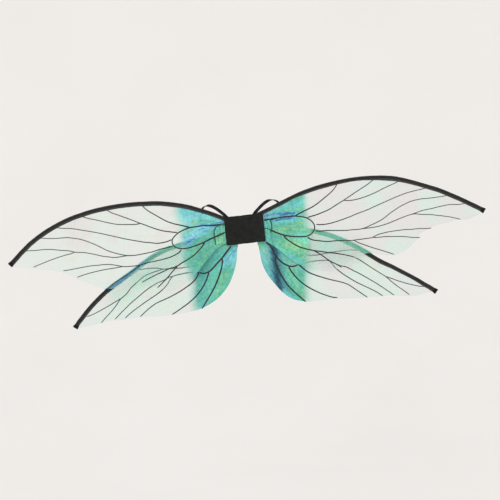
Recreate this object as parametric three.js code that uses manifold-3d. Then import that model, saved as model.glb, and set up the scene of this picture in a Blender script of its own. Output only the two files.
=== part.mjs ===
// Costume fairy wings: four film wings on bent rods in fabric casings, hung on a
// padded centre patch with two elastic shoulder loops.
// Millimetres, +Z up. The origin is the middle of the pad face that rests on the
// wearer's back. +Y points at the wearer, +X is the right wing seen from behind,
// and the wings are open in the rest pose.
import * as THREE from 'three';
import { mergeVertices } from 'three/addons/utils/BufferGeometryUtils.js';
import Module from 'manifold-3d';

const wasm = await Module();
wasm.setup();

// ---------------------------------------------------------------- dimensions
const PATCH_HALF_W = 35.5;        // visible patch, half width
const PATCH_HALF_H = 25.5;        // visible patch, half height
const FOLD_X = 20.9;              // fold line of each wing root
const FOLD_GAP = 0.3;             // clearance each side of the fold line
const COVER_T = 0.8;              // outer and inner cover fabric
const OUTER_FACE_Y = -13.6;       // outer face of the patch
const INNER_COVER_Y = -3.4;       // wearer side of the inner cover
const PAD = { halfW: 17, zLow: -15.5, zHigh: 7.5, thick: 3.1 };
const CAVITY_FRONT = OUTER_FACE_Y + COVER_T;          // inside of the outer cover
const CAVITY_BACK = INNER_COVER_Y - COVER_T;          // inside of the inner cover

const ROD_R = 1.3;                // bent spring rod, 2.6 mm thick
const ROD_BORE_R = 1.8;           // tunnel in the casing
const CASING_R = 2.4;             // fabric round the rod
const BAND_HALF = 4.1;            // casing, half of its 8.2 mm width
const ROD_OFFSET = -1.7;          // rod line from the band centre, away from the film
const HEM_HALF_T = 1.0;           // flat hem that holds the film
const SLOT_HALF = 0.45;           // film slot in the hem
const FILM_HALF_T = 0.15;
const FILM_TUCK = 0.9;            // film edge inward of the band centre line
const HOLDER_X = [21.4, 30.0];    // rod socket block, inner and outer side
const ROOT_X = 30.5;              // where casings and films start
const CAP_LEN = 4.0;              // tip cap beyond the casing
const CAP_PEG = 4.0;              // peg of the cap inside the rod tunnel
const CAP_GAP = 0.3;

const STRAP_W = 6.0;              // flat elastic
const STRAP_T = 1.0;
const STRAP_Y = -2.1;             // mid thickness where it is sewn on
const STRAP_EXIT_GAP = 2.0;       // between a sewn end and the free loop

// Depth of each wing's mid surface against the distance from the centre: the
// wings lean away from the wearer towards the tips.
const WING_Y = {
  fore: { root: -10.0, lean: 0.16, bow: 0.00006 },
  hind: { root: -7.0, lean: 0.11, bow: 0.00006 },
};
const LEAN_START = 36;
const LEAN_RAMP = 20;

// Centre line of each spar band, root to tip, as [x, z]. The first two points lie
// inside the patch: the end of the rod and the start of the casing.
const SPAR_LINES = {
  fore_left: [
    [-22.5, 15.7], [-30.5, 20.3], [-36, 23.5], [-51.3, 32], [-63, 37.6], [-74.9, 42.7],
    [-86.8, 47.8], [-98.8, 52.5], [-111.2, 56.3], [-123.7, 59.5], [-136.4, 62.3], [-149.1, 64.6],
    [-162, 66.1], [-174.9, 66.9], [-187.8, 67.7], [-200.7, 68.1], [-213.7, 68], [-226.6, 67.5],
    [-239.5, 66.7], [-252.4, 65.4], [-265.2, 63.8], [-278, 61.6], [-290.6, 58.8], [-303.2, 55.8],
    [-315.6, 52], [-327.8, 47.6], [-339.6, 42.5], [-351.4, 37.1], [-362.7, 30.9], [-373.8, 24.1],
    [-384.5, 16.9], [-394.5, 8.7], [-404.3, 0.2], [-413.7, -8.7], [-420.2, -14.5],
  ],
  fore_right: [
    [22.5, 22.3], [30.5, 25], [36, 26.9], [48.4, 31.1], [60.7, 35.7], [73, 40.3],
    [85.3, 44.7], [97.7, 49.1], [110.1, 53.2], [122.8, 56.3], [135.6, 59.2], [148.5, 61.5],
    [161.5, 63.3], [174.5, 64.8], [187.6, 65.9], [200.7, 66.6], [213.8, 66.8], [226.9, 66.5],
    [240, 65.6], [253, 64.3], [266, 62.4], [278.8, 59.7], [291.3, 55.7], [303.6, 51.1],
    [315.7, 46.1], [327.7, 40.8], [339.7, 35.5], [351.6, 30.1], [363.1, 23.9], [374.4, 17.2],
    [385.7, 10.5], [396.8, 3.5], [407.8, -3.7], [418.7, -10.8], [425.2, -15.4],
  ],
  hind_left: [
    [-22.5, 1.2], [-30.5, 0.1], [-36, -0.7], [-52.2, -3], [-63.8, -4.8], [-75.3, -6.8],
    [-86.8, -8.8], [-98.2, -11], [-109.7, -13.1], [-121.2, -15.4], [-132.6, -17.5], [-144.1, -19.7],
    [-155.1, -23.5], [-166, -27.8], [-176.5, -32.7], [-186.8, -38.4], [-196.8, -44.4], [-206.5, -50.8],
    [-216.6, -56.7], [-226.7, -62.5], [-236.8, -68.4], [-246.9, -74.2], [-256.9, -80.3], [-266.7, -86.6],
    [-276, -93.7], [-285, -101.1], [-293.8, -108.8], [-302.2, -116.9], [-310.3, -125.3], [-318.3, -133.7],
    [-323.4, -140],
  ],
  hind_right: [
    [22.5, 1.3], [30.5, -0.5], [36, -1.7], [48.6, -3.9], [61.5, -6], [74.4, -8.2],
    [87.3, -10.4], [100.2, -12.7], [113, -15.4], [125.8, -18.4], [138.1, -22.7], [150.3, -27.6],
    [162, -33.3], [173.6, -39.5], [184.8, -46.2], [195.7, -53.4], [206.3, -61.1], [216.6, -69.1],
    [226.8, -77.4], [237.3, -85.3], [248.2, -92.5], [259.3, -99.4], [270.1, -106.8], [280.9, -114.2],
    [291.7, -121.6], [302.3, -129.2], [312.6, -137.3], [323.2, -145], [329.6, -150.3],
  ],
};

const TRAILING_EDGES = {
  fore_left: [
    [-30.5, -22], [-35.3, -21.3], [-50.8, -27.9], [-62, -35.2], [-72.1, -44.5], [-91.3, -64.8],
    [-105.8, -77.5], [-119.2, -87.4], [-128.6, -92.8], [-139, -96.5], [-144.4, -97.1], [-152.2, -95.3],
    [-165.1, -90.7], [-180.2, -84.4], [-192.1, -77.4], [-197.1, -75.6], [-213.2, -74.9], [-255.8, -79.6],
    [-266.4, -78.3], [-273.8, -75.5], [-290.1, -66], [-309.2, -56.5], [-316, -52.4], [-326.9, -44.2],
    [-333.7, -40.4], [-341.1, -38.2], [-392.1, -26.3], [-420, -20.3],
  ],
  fore_right: [
    [30.5, -24.6], [36.4, -26.6], [51.8, -38.8], [84.2, -69.7], [93.1, -76.2], [105.3, -82.8],
    [120.9, -88.6], [137, -92.6], [142.4, -93.5], [147.9, -93.7], [158.9, -92.4], [164.2, -90.9],
    [191.3, -77.3], [201.5, -73.5], [214.7, -69.5], [217.3, -69.3], [228, -71.1], [236, -72.9],
    [249, -76.8], [265.2, -77.6], [273.1, -76.3], [283.2, -72.3], [292.6, -66.8], [302.7, -57.8],
    [309.9, -53.4], [311.3, -51.5], [312.9, -46.2], [314.7, -44.4], [321.9, -40.6], [332.3, -37.4],
    [339.7, -34.2], [344.7, -32.7], [360.6, -31.6], [384.1, -28], [397.1, -29.4], [402.3, -28.7],
    [414.8, -24.3], [424.1, -19.2],
  ],
  hind_left: [
    [-14.4, -25.1], [-18.2, -36.6], [-20.9, -53.3], [-22.8, -60.2], [-33, -84.7], [-36.4, -91],
    [-41.8, -99.1], [-51.2, -110], [-56.5, -115], [-64, -120.8], [-76.5, -128], [-92, -134.5],
    [-96.5, -136], [-105.8, -137.7], [-143.9, -141.2], [-162.8, -141], [-207.7, -138.4], [-238.2, -138.7],
    [-254.6, -138.3], [-303.5, -142.3], [-326.5, -144.8],
  ],
  hind_right: [
    [20, -27.5], [22.4, -37.1], [23.5, -59.4], [24.9, -66.8], [27.5, -76.3], [33.3, -90.1],
    [42.6, -104.8], [62.9, -130.1], [70.6, -135.8], [79.6, -140.2], [91.4, -143.7], [101.2, -145.4],
    [143, -145.6], [189.2, -149.2], [247.5, -150.5], [300.2, -155.5], [312, -152.7], [324, -152.3],
    [333.5, -152.7],
  ],
};

// Free loops of the shoulder elastic, top exit to bottom exit, as [x, y, z].
const STRAP_LOOPS = {
  right: [
    [20.4, -2.1, 26.0], [23.2, 0.6, 29.2], [27.6, 8.0, 33.4], [37.2, 22, 41.8], [45.6, 36, 47.6],
    [52.5, 46, 50.6], [59.5, 56, 50.8], [67, 66, 47.5], [73.5, 76, 37], [77, 84, 20],
    [76, 85, 1], [70, 77, -16], [59, 59, -25.5], [46, 36, -27.0], [34.5, 12.5, -24.0],
    [27.6, 0.4, -21.5], [23.5, -2.1, -20.5],
  ],
  left: [
    [-31.0, -2.1, 26.7], [-34.0, 0.6, 30.4], [-40.6, 10, 37.4], [-51.2, 25, 47.0], [-60.2, 38, 52.4],
    [-66.2, 48, 54.0], [-73, 59, 52.0], [-79, 71, 44], [-82.5, 81, 29], [-82.5, 85, 9],
    [-78, 80, -10], [-69, 66, -22.5], [-56.5, 43, -27.0], [-44.5, 18.5, -25.0],
    [-35.6, 1.2, -21.6], [-31.0, -2.1, -20.5],
  ],
};
// Inner points of the sewn ends of the elastic, [x, z] at depth STRAP_Y.
const STRAP_SEWN = {
  right: { top: [12.9, 17.6], bottom: [10.5, -20.5] },
  left: { top: [-18.6, 14.9], bottom: [-14.5, -20.5] },
};
const STRAP_STEPS = 44;

// ------------------------------------------------------------------- helpers
const V3 = (x, y, z) => new THREE.Vector3(x, y, z);

function ramp(d) {
  return d < LEAN_RAMP ? (d * d) / (2 * LEAN_RAMP) : d - LEAN_RAMP / 2;
}
function wingY(pair, x) {
  const w = WING_Y[pair];
  const d = Math.max(0, Math.abs(x) - LEAN_START);
  return w.root - w.lean * ramp(d) - w.bow * d * d;
}
function wingSlope(pair, x) {
  return (wingY(pair, x + 0.01) - wingY(pair, x - 0.01)) / 0.02;
}

function signedVolume(pos, index) {
  let v = 0;
  const a = V3(), b = V3(), c = V3();
  for (let i = 0; i < index.length; i += 3) {
    a.fromArray(pos, index[i] * 3);
    b.fromArray(pos, index[i + 1] * 3);
    c.fromArray(pos, index[i + 2] * 3);
    v += a.dot(b.cross(c));
  }
  return v / 6;
}
function solid(pos, index) {
  if (signedVolume(pos, index) < 0) {
    for (let i = 0; i < index.length; i += 3) {
      [index[i + 1], index[i + 2]] = [index[i + 2], index[i + 1]];
    }
  }
  const g = new THREE.BufferGeometry();
  g.setAttribute('position', new THREE.BufferAttribute(new Float32Array(pos), 3));
  g.setIndex(index);
  g.computeVertexNormals();
  return g;
}

// Sweeps a closed profile through stations {p, n, b}: every profile point [u, v]
// lies at p + u n + v b. A list of profiles gives each station its own.
function sweep(stations, profiles) {
  const list = Array.isArray(profiles[0][0]) ? profiles : stations.map(() => profiles);
  const m = list[0].length;
  const pos = [];
  stations.forEach((s, i) => {
    for (const [u, v] of list[i]) {
      pos.push(s.p.x + u * s.n.x + v * s.b.x, s.p.y + u * s.n.y + v * s.b.y, s.p.z + u * s.n.z + v * s.b.z);
    }
  });
  const index = [];
  for (let i = 0; i + 1 < stations.length; i++) {
    for (let j = 0; j < m; j++) {
      const k = (j + 1) % m;
      const a = i * m + j, b = i * m + k, c = a + m, d = b + m;
      index.push(a, b, d, a, d, c);
    }
  }
  const cap = (profile, base, flip) => {
    const pts = profile.map(([u, v]) => new THREE.Vector2(u, v));
    for (const [a, b, c] of THREE.ShapeUtils.triangulateShape(pts, [])) {
      if (flip) index.push(base + a, base + c, base + b);
      else index.push(base + a, base + b, base + c);
    }
  };
  cap(list[0], 0, true);
  cap(list[list.length - 1], (stations.length - 1) * m, false);
  return solid(pos, index);
}

function extrudeY(points, yLow, yHigh) {
  // points are [x, z]
  const shape = new THREE.Shape(points.map(([x, z]) => new THREE.Vector2(x, z)));
  const g = new THREE.ExtrudeGeometry(shape, { depth: yHigh - yLow, bevelEnabled: false, curveSegments: 6 });
  g.rotateX(Math.PI / 2);           // shape y becomes z, depth runs to -y
  g.translate(0, yHigh, 0);
  return weld(g);
}
function extrudeX(points, xLow, xHigh) {
  // points are [y, z]
  const shape = new THREE.Shape(points.map(([y, z]) => new THREE.Vector2(y, z)));
  const g = new THREE.ExtrudeGeometry(shape, { depth: xHigh - xLow, bevelEnabled: false, curveSegments: 6 });
  g.applyMatrix4(new THREE.Matrix4().makeBasis(V3(0, 1, 0), V3(0, 0, 1), V3(1, 0, 0)));
  g.translate(xLow, 0, 0);
  return weld(g);
}
function weld(g) {
  g.deleteAttribute('normal');
  g.deleteAttribute('uv');
  const w = mergeVertices(g, 1e-4);
  w.computeVertexNormals();
  return w;
}
function roundedRect(x0, z0, x1, z1, r, steps = 3) {
  const out = [];
  const corners = [[x1 - r, z1 - r, 0], [x0 + r, z1 - r, 90], [x0 + r, z0 + r, 180], [x1 - r, z0 + r, 270]];
  for (const [cx, cz, a0] of corners) {
    for (let i = 0; i <= steps; i++) {
      const a = ((a0 + (90 * i) / steps) * Math.PI) / 180;
      out.push([cx + r * Math.cos(a), cz + r * Math.sin(a)]);
    }
  }
  return out;
}

function toManifold(g) {
  const w = weld(g.clone());
  const mesh = new wasm.Mesh({
    numProp: 3,
    vertProperties: new Float32Array(w.attributes.position.array),
    triVerts: new Uint32Array(w.index.array),
  });
  return new wasm.Manifold(mesh);
}
function fromManifold(m) {
  const mesh = m.getMesh();
  const g = new THREE.BufferGeometry();
  g.setAttribute('position', new THREE.BufferAttribute(new Float32Array(mesh.vertProperties), 3));
  g.setIndex(Array.from(mesh.triVerts));
  g.computeVertexNormals();
  return g;
}

function circle(r, cu, steps) {
  const out = [];
  for (let i = 0; i < steps; i++) {
    const a = (2 * Math.PI * (i + 0.5)) / steps;
    out.push([cu + r * Math.cos(a), r * Math.sin(a)]);
  }
  return out;
}

// ------------------------------------------------------------ spar stations
// n lies in the wing surface and points at the film, b is the surface normal.
function sparStations(pair, side) {
  const line = SPAR_LINES[`${pair}_${side}`];
  const sg = side === 'right' ? 1 : -1;
  const pts = line.map(([x, z]) => V3(x, wingY(pair, x), z));
  return pts.map((p, i) => {
    const a = pts[Math.max(0, i - 1)], c = pts[Math.min(pts.length - 1, i + 1)];
    const t = c.clone().sub(a).normalize();
    const b = V3(-wingSlope(pair, p.x), 1, 0).normalize();
    t.addScaledVector(b, -t.dot(b)).normalize();
    const n = b.clone().cross(t).normalize();
    if (n.z > 0) n.negate();
    if (i === 1) {
      // upright cut face where the casing starts
      const cos = Math.abs(t.x);
      n.set(0, 0, -1 / cos);
    }
    return { p, n, b, t: t.multiplyScalar(sg * t.x > 0 ? 1 : -1) };
  });
}

// Open section of the casing: round over the rod, then two hem plies with the
// film slot between them.
const CASING_PROFILE = (() => {
  const out = [[BAND_HALF, HEM_HALF_T]];
  for (let k = 0; k < 8; k++) {
    const a = ((40 + (280 * k) / 7) * Math.PI) / 180;
    out.push([ROD_OFFSET + CASING_R * Math.cos(a), CASING_R * Math.sin(a)]);
  }
  out.push([BAND_HALF, -HEM_HALF_T], [BAND_HALF, -SLOT_HALF]);
  const mouth = ROD_OFFSET + Math.sqrt(ROD_BORE_R ** 2 - SLOT_HALF ** 2);
  out.push([mouth, -SLOT_HALF]);
  for (const deg of [-50, -93, -137, 180, 137, 93, 50]) {
    const a = (deg * Math.PI) / 180;
    out.push([ROD_OFFSET + ROD_BORE_R * Math.cos(a), ROD_BORE_R * Math.sin(a)]);
  }
  out.push([mouth, SLOT_HALF], [BAND_HALF, SLOT_HALF]);
  return out;
})();

// --------------------------------------------------------------- film panels
// Both long edges run outwards without turning back, so the panel is cut into
// upright strips; the surface is straight along each upright line.
function lerpAt(line, x, sg) {
  const ax = sg * x;
  for (let i = 0; i + 1 < line.length; i++) {
    const a = sg * line[i][0], b = sg * line[i + 1][0];
    if (ax <= b || i + 2 === line.length) {
      const f = (ax - a) / (b - a);
      return line[i][1] + f * (line[i + 1][1] - line[i][1]);
    }
  }
  return line[line.length - 1][1];
}
function filmGeometry(pair, side) {
  const sg = side === 'right' ? 1 : -1;
  const st = sparStations(pair, side);
  const top = st.slice(1).map((s) => {
    const q = s.p.clone().addScaledVector(s.n, FILM_TUCK);
    return [q.x, q.z];
  });
  const edge = TRAILING_EDGES[`${pair}_${side}`];
  const tip = st[st.length - 1];
  const cols = [];
  const add = (x, zt, zb) => {
    if (zt - zb > 0.6) cols.push([x, zt, zb]);
  };
  if (pair === 'hind') {
    // lobe below the patch, inboard of the rod sockets
    const zTop = -(PATCH_HALF_H + 0.5);
    const xs = edge.map((e) => e[0]).filter((x) => sg * x < ROOT_X - 0.7);
    for (let i = 0; i + 1 < edge.length; i++) {
      const [xa, za] = edge[i], [xb, zb] = edge[i + 1];
      if (za > zTop - 1 && zb < zTop - 1) xs.push(xa + ((zTop - 1 - za) / (zb - za)) * (xb - xa));
      else if (i === 0 && za <= zTop - 1) xs.push(xa);
    }
    xs.push(sg * (ROOT_X - 0.3), sg * 25.5);
    xs.sort((a, b) => sg * (a - b));
    for (const x of xs) {
      const zb = lerpAt(edge, x, sg);
      const last = cols[cols.length - 1];
      if (zTop - zb > 0.9 && (!last || sg * (x - last[0]) > 0.25)) add(x, zTop, zb);
    }
  }
  const xs = top.map((q) => q[0]);
  for (const [x] of edge) {
    if (sg * x > ROOT_X + 2 && xs.every((q) => Math.abs(q - x) > 1.6)) xs.push(x);
  }
  xs.sort((a, b) => sg * (a - b));
  const xEnd = sg * Math.min(sg * edge[edge.length - 1][0], sg * tip.p.x - 1.2);
  const kept = xs.filter((x) => sg * x < sg * xEnd - 1.0);
  kept.push(xEnd);
  // the lower edge stays behind the cut end of the casing
  const endPlane = (x) => tip.p.z + (-0.5 - (x - tip.p.x) * tip.t.x) / tip.t.z;
  for (const x of kept) add(x, lerpAt(top, x, sg), Math.max(lerpAt(edge, x, sg), endPlane(x)));

  const pos = [];
  for (const [x, zt, zb] of cols) {
    const y = wingY(pair, x);
    pos.push(x, y - FILM_HALF_T, zt, x, y - FILM_HALF_T, zb, x, y + FILM_HALF_T, zb, x, y + FILM_HALF_T, zt);
  }
  const index = [];
  const quad = (a, b, c, d) => index.push(a, b, c, a, c, d);
  for (let i = 0; i + 1 < cols.length; i++) {
    for (let j = 0; j < 4; j++) {
      const k = (j + 1) % 4;
      quad(i * 4 + j, i * 4 + k, i * 4 + 4 + k, i * 4 + 4 + j);
    }
  }
  quad(0, 3, 2, 1);
  const e = (cols.length - 1) * 4;
  quad(e, e + 1, e + 2, e + 3);
  return solid(pos, index);
}

// ---------------------------------------------------------------- tip caps
function capGeometry(pair, side) {
  const st = sparStations(pair, side);
  const end = st[st.length - 1];
  const at = (s) => ({ p: end.p.clone().addScaledVector(end.t, s), n: end.n, b: end.b });
  const steps = 12;
  const peg = [], small = [], big = [], flare = [];
  for (let i = 0; i < steps; i++) {
    const a = (2 * Math.PI * (i + 0.5)) / steps;
    const u = Math.cos(a), v = Math.sin(a);
    peg.push([ROD_OFFSET + ROD_R * u, ROD_R * v]);
    // rounded block round the band, read as a superellipse
    const se = (hw, hh) => {
      const r = (Math.abs(u) ** 5 + Math.abs(v) ** 5) ** (-1 / 5);
      return [hw * u * r, hh * v * r];
    };
    small.push(se(BAND_HALF + 0.2, CASING_R - 0.1));
    big.push(se(BAND_HALF + 0.9, CASING_R + 0.3));
    flare.push(se(BAND_HALF + 0.7, CASING_R + 0.1));
  }
  const stations = [at(-CAP_PEG), at(CAP_GAP), at(CAP_GAP), at(CAP_GAP + 1.6), at(CAP_GAP + CAP_LEN - 0.6), at(CAP_GAP + CAP_LEN)];
  return sweep(stations, [peg, peg, small, big, big, flare]);
}

// ------------------------------------------------------------------- straps
function strapStations(side) {
  const curve = new THREE.CatmullRomCurve3(STRAP_LOOPS[side].map((p) => V3(...p)), false, 'centripetal');
  const len = curve.getLength();
  const centre = V3(side === 'right' ? 46 : -54, 46, 8);
  const out = [];
  const from = (STRAP_EXIT_GAP / 2) / len, to = 1 - from;
  for (let i = 0; i <= STRAP_STEPS; i++) {
    const u = from + ((to - from) * i) / STRAP_STEPS;
    const p = curve.getPointAt(u);
    const t = curve.getTangentAt(u).normalize();
    const radial = p.clone().sub(centre).normalize();
    const w = THREE.MathUtils.smoothstep(p.y, 14, 44);
    const nrm = V3(0, -1, 0).lerp(radial, w);
    nrm.addScaledVector(t, -nrm.dot(t)).normalize();
    const wide = t.clone().cross(nrm).normalize();
    out.push({ p, n: wide, b: nrm, t });
  }
  return out;
}
const BAND_PROFILE = [
  [-STRAP_W / 2, -STRAP_T / 2], [STRAP_W / 2, -STRAP_T / 2], [STRAP_W / 2, STRAP_T / 2], [-STRAP_W / 2, STRAP_T / 2],
];
function sewnEnd(side, which) {
  const loop = STRAP_LOOPS[side];
  const exit = which === 'top' ? loop[0] : loop[loop.length - 1];
  const [x, z] = STRAP_SEWN[side][which];
  const a = V3(x, STRAP_Y, z), b = V3(exit[0], STRAP_Y, exit[2]);
  const t = b.clone().sub(a).normalize();
  b.addScaledVector(t, -STRAP_EXIT_GAP / 2);
  const n = t.clone().cross(V3(0, 1, 0)).normalize();
  const bb = V3(0, 1, 0);
  return sweep([{ p: a, n, b: bb }, { p: b, n, b: bb }], BAND_PROFILE);
}

// ---------------------------------------------------------------- materials
const material = (color, roughness, metalness = 0, extra = {}) =>
  new THREE.MeshStandardMaterial({ color, roughness, metalness, ...extra });

const wings = new THREE.Group();
wings.name = 'fairy_wings';
function part(parent, name, geometry, mat) {
  const mesh = new THREE.Mesh(geometry, mat);
  mesh.name = name;
  parent.add(mesh);
  return mesh;
}

// ------------------------------------------------------------- centre patch
const centre = new THREE.Group();
centre.name = 'centre';
wings.add(centre);
const midX = FOLD_X - FOLD_GAP;
{
  const y0 = OUTER_FACE_Y, y1 = CAVITY_BACK - 0.4, t = 0.6, h = PATCH_HALF_H, c = 0.6;
  const profile = [
    [y0 + c, h], [y1, h], [y1, h - t], [CAVITY_FRONT, h - t],
    [CAVITY_FRONT, -h + t], [y1, -h + t], [y1, -h], [y0 + c, -h], [y0, -h + c], [y0, h - c],
  ];
  part(centre, 'outer_cover', extrudeX(profile, -midX, midX), material(0x1b1b1d, 0.95));
}
part(centre, 'inner_cover',
  extrudeY(roundedRect(-midX, -PATCH_HALF_H, midX, PATCH_HALF_H, 1), CAVITY_BACK, INNER_COVER_Y),
  material(0x1d1d1f, 0.95));
part(centre, 'stiffener_plate',
  extrudeY(roundedRect(-midX + 0.6, -24.4, midX - 0.6, 24.4, 2), CAVITY_FRONT + 0.4, CAVITY_FRONT + 1.6),
  material(0x55585c, 0.6));
part(centre, 'core_foam',
  extrudeY(roundedRect(-midX + 0.6, -24.4, midX - 0.6, 24.4, 2), CAVITY_FRONT + 2.0, CAVITY_BACK - 0.4),
  material(0x6a6a6a, 0.9));
part(centre, 'back_pad',
  extrudeY(roundedRect(-PAD.halfW, PAD.zLow, PAD.halfW, PAD.zHigh, 4, 4), -PAD.thick, 0),
  material(0x202022, 0.98));

const elastic = () => material(0x17171a, 0.85);
for (const side of ['left', 'right']) {
  for (const which of ['top', 'bottom']) {
    part(centre, `strap_end_${which}_${side}`, sewnEnd(side, which), elastic());
  }
}

// --------------------------------------------------------------- wing roots
for (const side of ['left', 'right']) {
  const sg = side === 'right' ? 1 : -1;
  const wing = new THREE.Group();
  wing.name = `${side}_wing`;
  wings.add(wing);
  const flip = (pts) => (sg > 0 ? pts : pts.map(([x, z]) => [-x, z]).reverse());

  const x0 = FOLD_X + FOLD_GAP;
  const plate = flip(roundedRect(x0, -PATCH_HALF_H, PATCH_HALF_W, PATCH_HALF_H, 1));
  part(wing, `outer_side_cover_${side}`, extrudeY(plate, OUTER_FACE_Y, CAVITY_FRONT), material(0x1b1b1d, 0.95));
  part(wing, `inner_side_cover_${side}`, extrudeY(plate, CAVITY_BACK, INNER_COVER_Y), material(0x1d1d1f, 0.95));

  // rod socket block with one blind tunnel for each rod
  const [hx0, hx1] = HOLDER_X;
  const outline = side === 'right'
    ? [[hx0, -24.8], [hx1, -24.8], [hx1, 29.4], [22.4, 25.2], [hx0, 24.8]]
    : [[hx0, -24.8], [hx1, -24.8], [hx1, 25.6], [hx0 + 2, 24.8], [hx0, 24.8]];
  let block = toManifold(extrudeY(flip(outline), CAVITY_FRONT + 0.4, CAVITY_BACK - 0.4));
  for (const pair of ['fore', 'hind']) {
    const st = sparStations(pair, side);
    const dir = st[0].p.clone().sub(st[1].p).normalize();
    const inner = { p: st[0].p.clone().addScaledVector(dir, 0.4), n: st[0].n, b: st[0].b };
    const bore = sweep([inner, st[1], st[2]], circle(ROD_R + 0.4, ROD_OFFSET, 8));
    block = block.subtract(toManifold(bore));
  }
  part(wing, `rod_holder_${side}`, fromManifold(block), material(0x26272a, 0.5));

  for (const pair of ['fore', 'hind']) {
    const st = sparStations(pair, side);
    const end = st[st.length - 1];
    // the rod stops short of the tip cap's peg
    const stop = { p: end.p.clone().addScaledVector(end.t, -(CAP_PEG + 0.4)), n: end.n, b: end.b };
    const rodStations = [...st.slice(0, -1), stop];
    part(wing, `${pair}_rod_${side}`, sweep(rodStations, circle(ROD_R, ROD_OFFSET, 8)), material(0x2b2c30, 0.35));
    part(wing, `${pair}_casing_${side}`, sweep(st.slice(1), CASING_PROFILE), material(0x1c1d22, 0.8));
    part(wing, `${pair}_film_${side}`, filmGeometry(pair, side),
      material(pair === 'fore' ? 0xa9dccb : 0x9ed8c6, 0.25, 0, { transparent: true, opacity: 0.5 }));
    part(wing, `${pair}_tip_cap_${side}`, capGeometry(pair, side), material(0x19191b, 0.6));
  }
}

// ----------------------------------------------------------- shoulder loops
for (const side of ['left', 'right']) {
  const g = new THREE.Group();
  g.name = `${side}_strap`;
  wings.add(g);
  part(g, `strap_loop_${side}`, sweep(strapStations(side), BAND_PROFILE), elastic());
}

export default wings;
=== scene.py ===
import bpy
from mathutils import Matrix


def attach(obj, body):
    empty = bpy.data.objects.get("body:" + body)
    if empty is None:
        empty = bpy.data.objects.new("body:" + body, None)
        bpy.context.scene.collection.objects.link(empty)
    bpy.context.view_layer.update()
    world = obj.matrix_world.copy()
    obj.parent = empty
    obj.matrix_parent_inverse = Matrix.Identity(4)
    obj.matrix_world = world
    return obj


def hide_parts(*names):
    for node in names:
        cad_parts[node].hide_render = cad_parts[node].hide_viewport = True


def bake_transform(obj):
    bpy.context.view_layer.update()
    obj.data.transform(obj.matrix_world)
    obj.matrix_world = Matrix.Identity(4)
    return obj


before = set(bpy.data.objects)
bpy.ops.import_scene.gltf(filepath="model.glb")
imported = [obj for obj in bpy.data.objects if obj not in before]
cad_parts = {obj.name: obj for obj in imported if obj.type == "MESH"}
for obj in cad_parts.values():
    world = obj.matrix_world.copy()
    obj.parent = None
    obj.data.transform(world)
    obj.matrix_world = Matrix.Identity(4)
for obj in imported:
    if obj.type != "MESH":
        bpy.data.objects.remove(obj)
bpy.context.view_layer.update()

import math
import bpy
import bmesh
import numpy as np
from mathutils import Matrix, Vector

MM = 0.001
scene = bpy.context.scene

# ------------------------------------------------------------------ camera
# The view is level with the object and rolled by a few degrees, a long lens
# from 2.2 m behind the wearer.
ROLL = math.radians(6.6)
CAM = (5.31 * MM, -2200 * MM, -38.94 * MM)
cam_data = bpy.data.cameras.new("camera")
cam_data.sensor_width = 36.0
cam_data.lens = 36.0 * 1189.0 / 500.0
cam_data.clip_end = 20
cam = bpy.data.objects.new("camera", cam_data)
scene.collection.objects.link(cam)
right = Vector((math.cos(ROLL), 0, -math.sin(ROLL)))
up = Vector((math.sin(ROLL), 0, math.cos(ROLL)))
m = Matrix.Identity(4)
for r in range(3):
    m[r][0], m[r][1], m[r][2], m[r][3] = right[r], up[r], (0, -1, 0)[r], CAM[r]
cam.matrix_world = m
scene.camera = cam

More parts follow.
